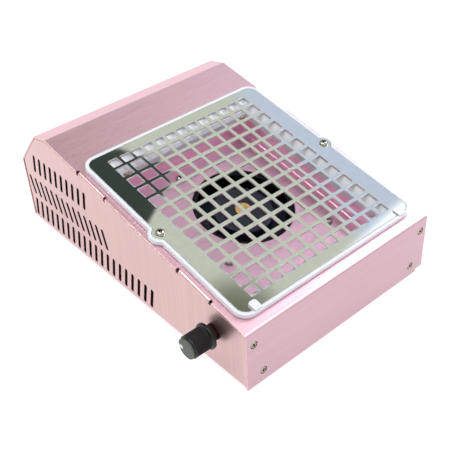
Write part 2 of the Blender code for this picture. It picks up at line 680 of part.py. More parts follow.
def build_case():
    case = place("fan_case", slab("fan_case", [scroll(CASE_WALL)], CASE_END, CASE_TOP), BLACK, FAN_AXIS)
    for i, (x, y) in enumerate(FAN_SCREWS, 1):
        boolean(case, "UNION", cutter(f"case_lug_{i}", slab("case_lug", [lug(x, y)], CASE_TOP - 9.0, CASE_TOP),
                                      FAN_AXIS))
    inside = scroll(0.0)
    inside[-3] = (inside[-3][0], 58.0)
    inside[-2] = (inside[-2][0], 58.0)
    boolean(case, "DIFFERENCE", cutter("case_inside", slab("case_inside", [inside], CASE_END + CASE_WALL,
                                                           CASE_TOP + 2.0), FAN_AXIS))
    boss = turned("motor_boss", [(6.2, -31.6), (6.2, CASE_END + 0.5), (4.6, CASE_END + 0.5), (4.6, -31.6)],
                  20, ring=True)
    boolean(case, "UNION", cutter("motor_boss", boss, FAN_AXIS))
    holes = [slab("lug_bore", [circle(at, CLEARANCE, 12)], CASE_TOP - 12.0, CASE_TOP + 2.0)
             for at in FAN_SCREWS]
    holes.append(slab("lead_hole", [circle((-14.0, 0.0), 3.2, 12)], CASE_END - 2.0, CASE_END + 4.0))
    boolean(case, "DIFFERENCE", cutter("case_holes", merged("case_holes", holes), FAN_AXIS))
    screw = pan_screw("fan_screw", 3.6, 2.4, 11.0)
    for i, (x, y) in enumerate(FAN_SCREWS, 1):
        place(f"fan_screw_{i}", screw, STEEL, FAN_AXIS, (x, y, TRAY_FLOOR + GAP / 2))


def blade(angle):
    """A forward-curved blade's outline."""
    inner, outer, thick = BLADE_INNER + 0.4, BLADE_OUTER - 0.4, 1.1
    middle = (inner + outer) / 2
    track = [(inner, 0.0), (middle, 2.6), (outer, 7.6)]
    one = [arc((0, 0), r, angle + a, angle + a, 1)[0] for r, a in track]
    other = [arc((0, 0), r, angle + a + math.degrees(thick / r), angle + a, 1)[0] for r, a in track]
    return one + other[::-1]


def build_impeller():
    top, low = HUB_TOP, BACK_DISC[1]
    profile = [(3.3, top), (HUB_RADIUS - 2.0, top), (HUB_RADIUS - 0.5, top - 0.6), (HUB_RADIUS, top - 2.0),
               (HUB_RADIUS, BACK_DISC[0]), (BLADE_OUTER, BACK_DISC[0]), (BLADE_OUTER, low),
               (HUB_RADIUS - 1.5, low), (HUB_RADIUS - 1.5, top - 1.8), (3.3, top - 1.8)]
    wheel = place("impeller", turned("impeller", profile, 32, ring=True), BLACK, FAN_AXIS)
    blades = [slab("blade", [blade(360.0 * i / BLADES + 3.7)], BACK_DISC[0] - 0.6, -30.2) for i in range(BLADES)]
    boolean(wheel, "UNION", cutter("blade_ring", merged("blade_ring", blades), FAN_AXIS))
    shroud = turned("shroud", [(BLADE_OUTER, -29.2), (BLADE_OUTER, -31.0), (BLADE_INNER, -31.0),
                               (BLADE_INNER, -29.2)], 32, ring=True)
    boolean(wheel, "UNION", cutter("shroud_ring", shroud, FAN_AXIS))
    seat = turned("hub_seat", [(0, top + 1), (6.5 + GAP, top + 1), (6.5 + GAP, top - 1.1), (0, top - 1.1)], 24)
    boolean(wheel, "DIFFERENCE", cutter("hub_seat", seat, FAN_AXIS))

    ring = [(5.9, top + 0.4), (6.5, top), (6.5, top - 0.8), (2.2, top - 0.8), (2.2, top + 0.4)]
    place("hub_bushing", turned("hub_bushing", ring, 24, ring=True), BRASS, FAN_AXIS)
    shaft = [(0, top + 0.7), (SHAFT_RADIUS - 0.3, top + 0.7), (SHAFT_RADIUS, top + 0.4),
             (SHAFT_RADIUS, CASE_END + 2.4), (0, CASE_END + 2.4)]
    place("fan_shaft", turned("fan_shaft", shaft, 16), STEEL, FAN_AXIS)
    magnet = [(22.2, -31.0), (22.2, -43.6), (20.4, -43.6), (20.4, -31.0)]
    place("rotor_magnet", turned("rotor_magnet", magnet, 32, ring=True), MAGNET, FAN_AXIS)


def build_motor():
    sleeve = [(4.3, -31.0), (4.3, -46.5), (SHAFT_RADIUS + 0.05, -46.5), (SHAFT_RADIUS + 0.05, -31.0)]
    place("motor_sleeve", turned("motor_sleeve", sleeve, 16, ring=True), BRASS, FAN_AXIS)
    core = []
    poles = 6
    for i in range(poles):
        middle = 360.0 * i / poles
        core += arc((0, 0), 9.0, middle - 22, middle - 14, 1)
        core += arc((0, 0), 17.0, middle - 7, middle - 7, 1)[:1]
        core += arc((0, 0), 17.0, middle - 24, middle - 24, 1)[:1]
        core += arc((0, 0), 19.6, middle - 24, middle + 24, 4)
        core += arc((0, 0), 17.0, middle + 24, middle + 24, 1)[:1]
        core += arc((0, 0), 17.0, middle + 7, middle + 7, 1)[:1]
        core += arc((0, 0), 9.0, middle + 14, middle + 22, 1)
    place("motor_stator", slab("motor_stator", [core, circle((0, 0), 6.5, 16)], -41.5, -32.0), COPPER, FAN_AXIS)
    board = slab("motor_board", [circle((0, 0), 20.0, 28), circle((0, 0), 6.6, 16)], -46.0, -44.6)
    place("motor_board", board, BOARD, FAN_AXIS)


# Speed knob and potentiometer; height 0 is the panel's outer face, up is outwards

def build_knob():
    foot = KNOB_STANDOFF
    tip = foot + KNOB_LENGTH
    profile = [(0, tip), (KNOB_RADIUS - 0.7, tip), (KNOB_RADIUS, tip - 0.6), (KNOB_RADIUS, tip - 1.4),
               (KNOB_RADIUS - 0.5, tip - 1.7), (KNOB_RADIUS - 0.5, tip - 2.5), (KNOB_RADIUS, tip - 2.8),
               (KNOB_RADIUS, foot + 3.2), (KNOB_RADIUS + 0.7, foot + 2.4), (SKIRT_RADIUS - 0.3, foot + 2.0),
               (SKIRT_RADIUS, foot + 1.7), (SKIRT_RADIUS, foot + 0.3), (SKIRT_RADIUS - 0.3, foot), (6.6, foot),
               (6.6, foot + 2.0), (3.1, foot + 2.0), (3.1, foot + 12.0), (0, foot + 12.0)]
    place("speed_knob", turned("speed_knob", profile, 30), KNOB_BLACK, KNOB_AXIS)
    shaft = [(0, foot + 11.0), (2.5, foot + 11.0), (2.8, foot + 10.5), (2.8, -5.5), (0, -5.5)]
    place("pot_shaft", turned("pot_shaft", shaft, 18), STEEL, KNOB_AXIS)
    nut = slab("pot_nut", [circle((0, 0), 5.8, 6), circle((0, 0), BUSHING_RADIUS + GAP, 16)], 1.2, 3.4)
    place("pot_nut", nut, BRASS, KNOB_AXIS)
    washer = [(6.2, 0.9), (6.2, 0.3), (BUSHING_RADIUS + GAP, 0.3), (BUSHING_RADIUS + GAP, 0.9)]
    place("pot_washer", turned("pot_washer", washer, 24, ring=True), BRASS, KNOB_AXIS)
    bushing = [(BUSHING_RADIUS - 0.3, 4.9), (BUSHING_RADIUS, 4.5), (BUSHING_RADIUS, -1.6), (3.1, -1.6),
               (3.1, 4.9)]
    place("pot_bushing", turned("pot_bushing", bushing, 20, ring=True), BRASS, KNOB_AXIS)
    body = [(0, -6.5), (3.3, -6.5), (3.3, -1.9), (8.2, -1.9), (8.5, -2.3), (8.5, -10.6), (8.0, -11.0), (0, -11.0)]
    place("pot_body", turned("pot_body", body, 24), STEEL, KNOB_AXIS)


# Rear power inlet; height 0 is the panel's outer face, up is outwards

def build_jack():
    flange = GAP + JACK_FLANGE
    profile = [(0, -8.0), (2.8, -8.0), (2.8, flange), (6.6, flange), (7.2, flange - 0.6), (7.2, GAP), (5.5, GAP),
               (5.5, -11.5), (0, -11.5)]
    place("dc_jack", turned("dc_jack", profile, 24), BLACK, JACK_AXIS)
    pin = [(0, 0.6), (0.7, 0.4), (1.0, 0.0), (1.0, -7.7), (0, -7.7)]
    place("dc_jack_pin", turned("dc_jack_pin", pin, 12), STEEL, JACK_AXIS)
    nut = slab("dc_jack_nut", [circle((0, 0), 8.0, 6), circle((0, 0), 5.5 + GAP, 18)], -4.2, -1.8)
    place("dc_jack_nut", nut, STEEL, JACK_AXIS)


# Speed control board on the base, and the leads

def build_board():
    x, y = BOARD_AT
    top = BASE_Z + SHEET
    low = top + 4.0
    spots = [(x - 22.0, y), (x + 22.0, y)]
    outline = box_outline(x - 28.0, x + 28.0, y - 10.0, y + 10.0, 1.0)
    board = slab("control_board", [outline] + [circle(at, CLEARANCE, 12) for at in spots], low, low + 1.6)
    place("control_board", board, BOARD)
    spacer = turned("board_spacer", [(2.6, low - GAP), (2.6, top + GAP), (1.5, top + GAP), (1.5, low - GAP)], 6,
                    ring=True)
    for i, (sx, sy) in enumerate(spots, 1):
        place(f"board_spacer_{i}", spacer, BRASS, location=(sx, sy, 0))
    rise = low + 1.6 + GAP
    can = [(0, 11.0), (3.6, 11.0), (4.0, 10.5), (4.0, 0.0), (0, 0.0)]
    place("board_capacitor", turned("board_capacitor", can, 18), BLACK, location=(x + 8.0, y, rise))
    place("board_transistor", box("board_transistor", (x - 12.0, x - 2.0), (y - 2.2, y + 2.2),
                                  (rise, rise + 14.0)), BLACK)


def lead(name, route, radius):
    """A round lead through a smooth curve by its own few points."""
    points = [Vector(p) for p in route]
    ends = [points[0] * 2 - points[1]] + points + [points[-1] * 2 - points[-2]]
    track = []
    steps = 5
    for a, b, c, d in zip(ends, ends[1:], ends[2:], ends[3:]):
        for k in range(steps):
            t = k / steps
            track.append(0.5 * (2 * b + (c - a) * t + (2 * a - 5 * b + 4 * c - d) * t ** 2
                                + (3 * b - a - 3 * c + d) * t ** 3))
    track.append(points[-1])
    curve = bpy.data.curves.new(name, "CURVE")
    curve.dimensions = "3D"
    curve.bevel_depth = radius * MM
    curve.bevel_resolution = 1
    curve.use_fill_caps = True
    spline = curve.splines.new("POLY")
    spline.points.add(len(track) - 1)
    for point, at in zip(spline.points, track):
        point.co = (*(at * MM), 1.0)
    guide = bpy.data.objects.new(name + "_guide", curve)
    cutters.objects.link(guide)
    place(name, baked(name, guide), LEAD)


def in_housing(point):
    """A slope-frame point in the housing frame."""
    x, y, z = point
    return FRONT_TOP + Vector((x, y * math.cos(SLOPE) - z * math.sin(SLOPE),
                               y * math.sin(SLOPE) + z * math.cos(SLOPE)))


def build_leads():
    x, y = BOARD_AT
    top = BASE_Z + SHEET + 4.0 + 1.6 + GAP
    pot = Vector(KNOB_AT) + Vector((12.5, 0.0, 0.0))
    lead("speed_lead", [pot, pot + Vector((4.0, 0.0, -3.0)), (-70.0, -108.0, 16.0), (-52.0, -112.0, 15.0),
                        (x - 26.0, y + 5.0, top + 1.4)], 1.1)
    jack = Vector(JACK_AT) + Vector((0.0, -13.0, 0.0))
    lead("power_lead", [jack, jack + Vector((-3.0, -6.0, -4.0)), (-72.0, 105.0, 9.0), (-72.0, 20.0, 7.5),
                        (-70.0, -80.0, 7.5), (-56.0, -112.0, 11.0), (-46.0, -120.0, top + 2.4),
                        (x - 26.0, y - 5.0, top + 1.4)], 1.1)
    hole = in_housing((FAN[0] - 14.0, FAN[1], CASE_END + 2.0))
    below = in_housing((FAN[0] - 14.0, FAN[1], CASE_END - 3.0))
    lead("motor_lead", [hole, below, (-12.0, -50.0, 7.5), (x + 30.0, y + 26.0, 9.0), (x + 30.0, y + 15.0, top + 3.0),
                        (x + 26.0, y + 5.0, top + 1.4)], 1.1)


build_housing()
build_base()
build_panel_screws()
build_frame()
build_grille()
build_tray()
build_cover()
build_case()
build_impeller()
build_motor()
build_knob()
build_jack()
build_board()
build_leads()
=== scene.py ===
"""Looks of the desk nail dust collector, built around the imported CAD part.

Lengths are in millimetres here and become metres when a mesh is made.
Slope frame: x across, y up the slope from the front top edge, z out of the sloped top.
"""

import json
import math

import bmesh
import bpy
from mathutils import Matrix, Vector


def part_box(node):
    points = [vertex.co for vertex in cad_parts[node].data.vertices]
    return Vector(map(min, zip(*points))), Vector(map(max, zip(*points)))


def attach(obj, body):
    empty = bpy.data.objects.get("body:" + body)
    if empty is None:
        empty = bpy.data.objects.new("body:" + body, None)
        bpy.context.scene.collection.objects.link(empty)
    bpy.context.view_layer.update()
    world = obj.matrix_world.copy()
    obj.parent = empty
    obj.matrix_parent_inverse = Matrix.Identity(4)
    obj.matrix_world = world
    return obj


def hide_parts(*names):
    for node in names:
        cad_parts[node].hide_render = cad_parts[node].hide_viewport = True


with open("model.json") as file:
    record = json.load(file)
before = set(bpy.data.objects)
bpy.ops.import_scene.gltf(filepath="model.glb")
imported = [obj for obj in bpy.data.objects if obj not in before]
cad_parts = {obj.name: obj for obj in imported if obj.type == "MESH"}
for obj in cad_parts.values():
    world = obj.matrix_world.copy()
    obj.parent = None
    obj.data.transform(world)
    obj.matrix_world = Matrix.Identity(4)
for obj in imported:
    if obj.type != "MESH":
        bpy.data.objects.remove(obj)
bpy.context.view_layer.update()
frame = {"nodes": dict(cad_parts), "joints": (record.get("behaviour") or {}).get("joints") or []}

MM = 0.001
GAP = 0.3
SHEET = 1.5
SOFT_EDGE = 0.12
FLAT = 0.99    # a face whose normal has at least this share across a sheet belongs to its flat side

# Housing profile, as heights above the ground and distances from the rear
EDGE_Z = 5.0
FRONT_TOP_Z = 52.4
RIDGE_Z, RIDGE_BACK = 98.4, 47.5
BREAK_Z, BREAK_BACK = 94.2, 29.4
REAR_TOP_Z = 61.2
SKIRT_Z = 2.7
SKIRT_HALF = 82.8
BEND = 2.5
FLANGE_X = 70.0
TABS = ((36.1, 67.4), (152.7, 184.1))
TAB_BEND = 1.7
NOTCH = 2.4
NOTCH_DEPTH = 3.4
TOP_OPENING = (71.0, 17.5, 181.5)

# Louvre rows: centre y, centre height over the side's lower edge, number, length, lean in degrees
LOUVRES = ((79.2, 59.8, 10, 17.6, 11.5), (73.9, 35.1, 14, 18.0, -13.0), (46.8, 12.1, 21, 19.1, 11.5))
LOUVRE_PITCH = 8.0
LOUVRE_WIDTH = 3.0

# Grille and white frame, in the slope frame
GRILLE_Y = 98.8
GRILLE_HALF = (82.0, 87.3)
GRILLE_CORNER = 7.5
GRILLE_TOP = 4.0
HOLE, HOLE_PITCH, HOLE_CORNER = 10.1, (12.62, 12.75), 0.9
SMALL_HOLE, SMALL_PITCH, SMALL_ROW_Y = 8.2, 10.63, 75.3
EAR_X, EAR_RADIUS, EAR_FILLET = 80.7, 5.6, 3.0
RIM, RIM_TOP = 2.7, 4.27
LEDGE_TOP = GRILLE_TOP - SHEET - GAP
FUNNEL_TOP = (69.3, 18.4, 180.0)
FUNNEL_LOW = (62.5, 24.7, 167.8)
FUNNEL_KNEE, FUNNEL_END, FUNNEL_WALL = -3.6, -8.6, 1.2
CLIP_X, CLIP_WIDTH, CLIP_REACH, CLIP_RISE = 71.0, 6.5, 5.6, 1.2

# Tray and blower, in the slope frame
TRAY_TOP, TRAY_FLOOR = -4.0, -24.7
TRAY_HALF, TRAY_Y = 64.0, (23.2, 169.3)
TRAY_SCREW_X, TRAY_SCREW_Z = 58.0, -6.4
INLET_RADIUS = 39.6
COVER_INLET_RADIUS = 36.0
FAN_SCREWS = ((-21.3, 50.2), (-46.8, -36.2), (40.1, -50.6))
HUB_RADIUS, HUB_TOP = 24.0, -28.6
BLADE_INNER, BLADE_OUTER, BLADES = 37.0, 44.0, 24
BACK_DISC = (-46.0, -47.2)
SHROUD = (-29.2, -31.0)
BLADE_TOP = -30.2
BLADE_TURN = 3.7

# Knob, heights from the side panel's outer face
KNOB_FOOT, KNOB_TIP = 5.4, 23.9
KNOB_RADIUS, SKIRT_RADIUS, CAP_RADIUS = 8.5, 9.8, 7.7
CAP_DROP = 0.25
MARK_TURN = math.radians(8.0)
MARK_HALF, MARK_REACH = 1.5, (CAP_RADIUS - 4.6, CAP_RADIUS - 0.5)
BUSHING_RADIUS = 3.5

# Fasteners and feet
PANEL_SCREWS = ((83.5, EDGE_Z + 36.0), (75.6, EDGE_Z + 7.2))
PANEL_HEAD = 2.7
BASE_Z = 3.2

JOINTS = {joint["name"]: joint for joint in frame["joints"]}
SPIN, TURN = JOINTS["impeller_spin"], JOINTS["knob_turn"]
SLOPE = math.atan2(-SPIN["axis"][1], SPIN["axis"][2])
shell_low, shell_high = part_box("housing_shell")
HALF_X = (shell_high.x - shell_low.x) / 2 / MM
HALF_Y = (shell_high.y - shell_low.y) / 2 / MM
CENTRE = (shell_low + shell_high) / 2
HOUSING = Matrix.Translation((CENTRE.x, CENTRE.y, 0.0))
FRONT_TOP = Vector((0.0, -HALF_Y, FRONT_TOP_Z))
SLOPED = HOUSING @ Matrix.Translation(FRONT_TOP * MM) @ Matrix.Rotation(SLOPE, 4, "X")
fan_spot = SLOPED.inverted() @ Vector(SPIN["pos_m"])
FAN = SLOPED @ Matrix.Translation((fan_spot.x, fan_spot.y, 0.0))
KNOB = Matrix.Translation(TURN["pos_m"]) @ Matrix.Rotation(-math.pi / 2, 4, "Y")
jack_low, jack_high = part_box("dc_jack")
JACK = Matrix.Translation(((jack_low.x + jack_high.x) / 2, shell_high.y, (jack_low.z + jack_high.z) / 2))
JACK = JACK @ Matrix.Rotation(-math.pi / 2, 4, "X")


# Outlines: lists of (x, y) points

def arc(centre, radius, start, end, steps):
    angles = [math.radians(start + (end - start) * i / steps) for i in range(steps + 1)]
    return [(centre[0] + radius * math.cos(a), centre[1] + radius * math.sin(a)) for a in angles]


def circle(centre, radius, steps=32):
    return arc(centre, radius, 0, 360, steps)[:-1]


def rounded(points, radii, steps=6, closed=True):
    """Replace each corner that has a radius by an arc."""
    out = []
    for i, (point, radius) in enumerate(zip(points, radii)):
        if radius <= 0 or not (closed or 0 < i < len(points) - 1):
            out.append(point)
            continue
        corner = Vector(point)
        before = (Vector(points[i - 1]) - corner).normalized()
        after = (Vector(points[(i + 1) % len(points)]) - corner).normalized()
        half = before.angle(after) / 2
        middle = corner + (before + after).normalized() * (radius / math.sin(half))
        first = corner + before * (radius / math.tan(half)) - middle
        last = corner + after * (radius / math.tan(half)) - middle
        turn = first.angle_signed(last)
        for k in range(steps + 1):
            spoke = first.copy()
            spoke.rotate(Matrix.Rotation(-turn * k / steps, 2))
            out.append(tuple(middle + spoke))
    return out


def offset_path(points, distance):
    """Move an open path to its right-hand side."""
    lines = []
    for a, b in zip(points, points[1:]):
        along = (Vector(b) - Vector(a)).normalized()
        lines.append((Vector(a) + Vector((along.y, -along.x)) * distance, along))
    out = [tuple(lines[0][0])]
    for (p, d), (q, e) in zip(lines, lines[1:]):
        t = ((q.x - p.x) * e.y - (q.y - p.y) * e.x) / (d.x * e.y - d.y * e.x)
        out.append(tuple(p + d * t))
    length = (Vector(points[-1]) - Vector(points[-2])).length
    out.append(tuple(lines[-1][0] + lines[-1][1] * length))
    return out


def box_outline(x0, x1, y0, y1, radius=0.0, steps=6):
    corners = [(x0, y0), (x1, y0), (x1, y1), (x0, y1)]
    return rounded(corners, [radius] * 4, steps) if radius else corners


def eared_outline(grow):
    """The grille's outline grown by an amount: a rounded box with a round ear at each side's middle."""
    half_x, half_y = GRILLE_HALF[0] + grow, GRILLE_HALF[1] + grow
    corner, ear, fillet = GRILLE_CORNER + grow, EAR_RADIUS + grow, EAR_FILLET
    reach = half_x + fillet - EAR_X
    rise = math.sqrt((ear + fillet) ** 2 - reach ** 2)
    lean = math.degrees(math.atan2(rise, reach))
    right = arc((half_x - corner, GRILLE_Y - half_y + corner), corner, -90, 0, 12)
    right += arc((half_x + fillet, GRILLE_Y - rise), fillet, 180, 180 - lean, 5)
    right += arc((EAR_X, GRILLE_Y), ear, -lean, lean, 16)[1:-1]
    right += arc((half_x + fillet, GRILLE_Y + rise), fillet, 180 + lean, 180, 5)
    right += arc((half_x - corner, GRILLE_Y + half_y - corner), corner, 0, 90, 12)
    return right + [(-x, y) for x, y in reversed(right)]


def capsule(centre, length, width, lean, steps=8):
    """A slot with round ends, leaning from upright by an angle in degrees."""
    radius = width / 2
    run = length / 2 - radius
    points = arc((0, run), radius, 0, 180, steps) + arc((0, -run), radius, 180, 360, steps)
    turn = math.radians(lean)
    return [(centre[0] + x * math.cos(turn) - y * math.sin(turn),
             centre[1] + x * math.sin(turn) + y * math.cos(turn)) for x, y in points]


# Meshes

def close_mesh(mesh):
    work = bmesh.new()
    work.from_mesh(mesh)
    bmesh.ops.remove_doubles(work, verts=work.verts, dist=0.000002)
    bmesh.ops.recalc_face_normals(work, faces=work.faces)
    work.to_mesh(mesh)
    work.free()
    return mesh


def baked(guide):
    """The mesh of an object with its modifiers; the object is removed."""
    bpy.context.view_layer.update()
    graph = bpy.context.evaluated_depsgraph_get()
    mesh = bpy.data.meshes.new_from_object(guide.evaluated_get(graph))
    bpy.data.objects.remove(guide)
    return close_mesh(mesh)


def guide_for(data):
    guide = bpy.data.objects.new("guide", data)
    bpy.context.scene.collection.objects.link(guide)
    return guide


def slab(outlines, low, high, edge=SOFT_EDGE, edge_steps=1):
    """A flat piece between two levels: the first outline is filled, the others are holes.

    Its edges are rounded by the width given.
    """
    curve = bpy.data.curves.new("outline", "CURVE")
    curve.dimensions = "2D"
    curve.fill_mode = "BOTH"
    curve.extrude = ((high - low) / 2 - edge) * MM
    curve.bevel_depth = edge * MM
    curve.bevel_resolution = edge_steps
    curve.offset = -edge * MM
    for outline in outlines:
        spline = curve.splines.new("POLY")
        spline.points.add(len(outline) - 1)
        for point, (x, y) in zip(spline.points, outline):
            point.co = (x * MM, y * MM, 0.0, 1.0)
        spline.use_cyclic_u = True
    guide = guide_for(curve)
    mesh = baked(guide)
    mesh.transform(Matrix.Translation((0.0, 0.0, (low + high) / 2 * MM)))
    return mesh


def turned(profile, steps=64, ring=False):
    """A mesh turned about Z from (radius, height) points that run down the outer side."""
    mesh = bpy.data.meshes.new("profile")
    points = [(r * MM, 0.0, z * MM) for r, z in profile]
    edges = [(i, i + 1) for i in range(len(points) - 1)]
    if ring:
        edges.append((len(points) - 1, 0))
    mesh.from_pydata(points, edges, [])
    guide = guide_for(mesh)
    screw = guide.modifiers.new("turn", "SCREW")
    screw.steps = screw.render_steps = steps
    screw.use_merge_vertices = True
    screw.merge_threshold = 0.00001
    return baked(guide)


def merged(meshes):
    work = bmesh.new()
    for mesh in meshes:
        work.from_mesh(mesh)
    mesh = bpy.data.meshes.new("merged")
    work.to_mesh(mesh)
    work.free()
    return mesh


def combined(mesh, operation, *others):
    """Boolean result of one mesh with others."""
    guide = guide_for(mesh)
    tools = []
    for other in others:
        tools.append(guide_for(other))
        change = guide.modifiers.new("combine", "BOOLEAN")
        change.operation = operation
        change.solver = "EXACT"
        change.object = tools[-1]
    result = baked(guide)
    for tool in tools:
        bpy.data.objects.remove(tool)
    return result


def moved(mesh, matrix):
    mesh.transform(matrix)
    return mesh


def at(x, y, z, tilt=0.0, axis="X"):
    return Matrix.Translation(Vector((x, y, z)) * MM) @ Matrix.Rotation(tilt, 4, axis)


def loft(rings, capped=True):
    """A closed mesh through rings of points that all have the same number of points."""
    work = bmesh.new()
    made = [[work.verts.new(Vector(point) * MM) for point in ring] for ring in rings]
    for upper, lower in zip(made, made[1:]):
        for i in range(len(upper)):
            j = (i + 1) % len(upper)
            work.faces.new((upper[i], lower[i], lower[j], upper[j]))
    if capped:
        work.faces.new(made[0])
        work.faces.new(made[-1][::-1])
    mesh = bpy.data.meshes.new("loft")
    work.to_mesh(mesh)
    work.free()
    return close_mesh(mesh)


# Folded sheet: a flat pattern with u along a bent path, x across it and its outer face at height 0

class Path:
    """A bent outer surface seen from its end, and the way along it."""

    def __init__(self, corners, radii, steps=8):
        self.points = [Vector(p) for p in rounded(corners, radii, steps, closed=False)]
        self.lengths = [0.0]
        for a, b in zip(self.points, self.points[1:]):
            self.lengths.append(self.lengths[-1] + (b - a).length)
        ways = [(b - a).normalized() for a, b in zip(self.points, self.points[1:])]
        self.normals = []
        for before, after in zip([ways[0]] + ways, ways + [ways[-1]]):
            way = before + after
            normal = Vector((-way.y, way.x)).normalized()
            self.normals.append(normal / normal.dot(Vector((-after.y, after.x))))

    def u(self, point):
        """Distance along the path of the spot nearest to a point."""
        point = Vector(point)
        best = None
        for a, b, start in zip(self.points, self.points[1:], self.lengths):
            run = (b - a).length
            t = min(max((point - a).dot(b - a) / run ** 2, 0.0), 1.0)
            miss = (a + (b - a) * t - point).length
            if best is None or miss < best[0] - 0.001:
                best = (miss, start + run * t)
        return best[1]

    def place(self, u, height):
        i = max(k for k in range(len(self.lengths) - 1) if k == 0 or self.lengths[k] <= u + 0.0001)
        t = (u - self.lengths[i]) / (self.lengths[i + 1] - self.lengths[i])
        spot = self.points[i].lerp(self.points[i + 1], t)
        normal = self.normals[i].lerp(self.normals[i + 1], min(max(t, 0.0), 1.0))
        return spot + normal * height


def fold(mesh, path, axis):
    """Bend a flat pattern (u on X, across on Y, face at Z 0) along a path.

    The axis is the one that the bends run along.
    """
    work = bmesh.new()
    work.from_mesh(mesh)
    for length in path.lengths[1:-1]:
        geometry = work.verts[:] + work.edges[:] + work.faces[:]
        bmesh.ops.bisect_plane(work, geom=geometry, dist=0.0000001, plane_co=(length * MM, 0, 0),
                               plane_no=(1, 0, 0))
    for vert in work.verts:
        spot = path.place(vert.co.x / MM, vert.co.z / MM)
        if axis == "X":
            vert.co = Vector((vert.co.y, spot.x * MM, spot.y * MM))
        else:
            vert.co = Vector((spot.x * MM, spot.y * MM, vert.co.y))
    work.to_mesh(mesh)
    work.free()
    return close_mesh(mesh)


# Materials

EVEN = (1.0, 1.0, 1.0)


class Finish:
    """A Principled material with short helpers for its procedural detail."""

    def __init__(self, name, colour, roughness, metallic=0.0, **sockets):
        self.material = bpy.data.materials.new(name)
        self.material.use_nodes = True
        self.tree = self.material.node_tree
        self.shader = self.tree.nodes["Principled BSDF"]
        self.shader.inputs["Base Color"].default_value = (*colour, 1.0)
        self.shader.inputs["Roughness"].default_value = roughness
        self.shader.inputs["Metallic"].default_value = metallic
        for socket, value in sockets.items():
            self.shader.inputs[socket.replace("_", " ")].default_value = value
        self.coordinates = self.tree.nodes.new("ShaderNodeTexCoord")

    def node(self, kind, **values):
        made = self.tree.nodes.new(kind)
        for key, value in values.items():
            setattr(made, key, value)
        return made

    def noise(self, stretch, scale, detail=3.0, roughness=0.55):
        """Noise whose features are drawn out along the axes that have a small stretch."""
        mapping = self.node("ShaderNodeMapping")
        mapping.inputs["Scale"].default_value = stretch
        self.tree.links.new(self.coordinates.outputs["Object"], mapping.inputs["Vector"])
        made = self.node("ShaderNodeTexNoise")
        made.inputs["Scale"].default_value = scale
        made.inputs["Detail"].default_value = detail
        made.inputs["Roughness"].default_value = roughness
        self.tree.links.new(mapping.outputs["Vector"], made.inputs["Vector"])
        return made.outputs["Fac"]

    def ramp(self, value, low, high, start=0.3, end=0.7):
        made = self.node("ShaderNodeMapRange")
        for socket, number in zip(("From Min", "From Max", "To Min", "To Max"), (start, end, low, high)):
            made.inputs[socket].default_value = number
        self.tree.links.new(value, made.inputs["Value"])
        return made.outputs["Result"]

    def mix(self, factor, first, second):
        """Blend two colours, or a colour socket with a colour."""
        made = self.node("ShaderNodeMix", data_type="RGBA")
        self.tree.links.new(factor, made.inputs[0])
        for socket, value in ((made.inputs[6], first), (made.inputs[7], second)):
            if isinstance(value, tuple):
                socket.default_value = (*value, 1.0)
            else:
                self.tree.links.new(value, socket)
        return made.outputs[2]

    def colour(self, value):
        self.tree.links.new(value, self.shader.inputs["Base Color"])

    def roughness(self, value):
        self.tree.links.new(value, self.shader.inputs["Roughness"])

    def bump(self, height, distance, strength=1.0):
        made = self.node("ShaderNodeBump")
        made.inputs["Strength"].default_value = strength
        made.inputs["Distance"].default_value = distance * MM
        self.tree.links.new(height, made.inputs["Height"])
        previous = self.shader.inputs["Normal"].links
        if previous:
            self.tree.links.new(previous[0].from_socket, made.inputs["Normal"])
        self.tree.links.new(made.outputs["Normal"], self.shader.inputs["Normal"])


def anodised(name, colour, deep, along, roughness, metallic=1.0):
    """Brushed anodised sheet: the brush lines run along one axis."""
    made = Finish(name, colour, roughness, metallic)
    lines = tuple(0.02 if axis == along else 1.0 for axis in "XYZ")
    fine = made.noise(lines, 3200.0, 4.0, 0.7)
    broad = made.noise(lines, 420.0, 3.0, 0.6)
    blotch = made.noise(EVEN, 14.0, 2.0)
    tone = made.mix(made.ramp(broad, 0.0, 0.9), colour, deep)
    tone = made.mix(made.ramp(blotch, 0.0, 0.3), tone, deep)
    made.colour(tone)
    made.roughness(made.ramp(fine, roughness - 0.05, roughness + 0.07))
    made.bump(broad, 0.006, 0.5)
    made.bump(fine, 0.004, 0.6)
    return made.material


def plastic(name, colour, deep, roughness, grain, depth, shine=0.5):
    """Moulded plastic: slight mottling and a fine spark texture."""
    made = Finish(name, colour, roughness, Specular_IOR_Level=shine)
    spark = made.noise(EVEN, grain, 3.0)
    mottle = made.noise(EVEN, 60.0, 2.0)
    made.colour(made.mix(made.ramp(mottle, 0.0, 1.0), colour, deep))
    made.roughness(made.ramp(spark, roughness - 0.05, roughness + 0.08))
    made.bump(spark, depth)
    return made.material


def metal(name, colour, deep, roughness, lines, scale, depth, metallic=1.0):
    """Plated or polished metal with faint lines or tarnish."""
    made = Finish(name, colour, roughness, metallic)
    mark = made.noise(lines, scale, 3.0)
    tarnish = made.noise(EVEN, 180.0, 3.0)
    made.colour(made.mix(made.ramp(tarnish, 0.0, 1.0, 0.4, 0.75), colour, deep))
    made.roughness(made.ramp(mark, roughness * 0.8, roughness * 1.35))
    made.bump(mark, depth)
    return made.material


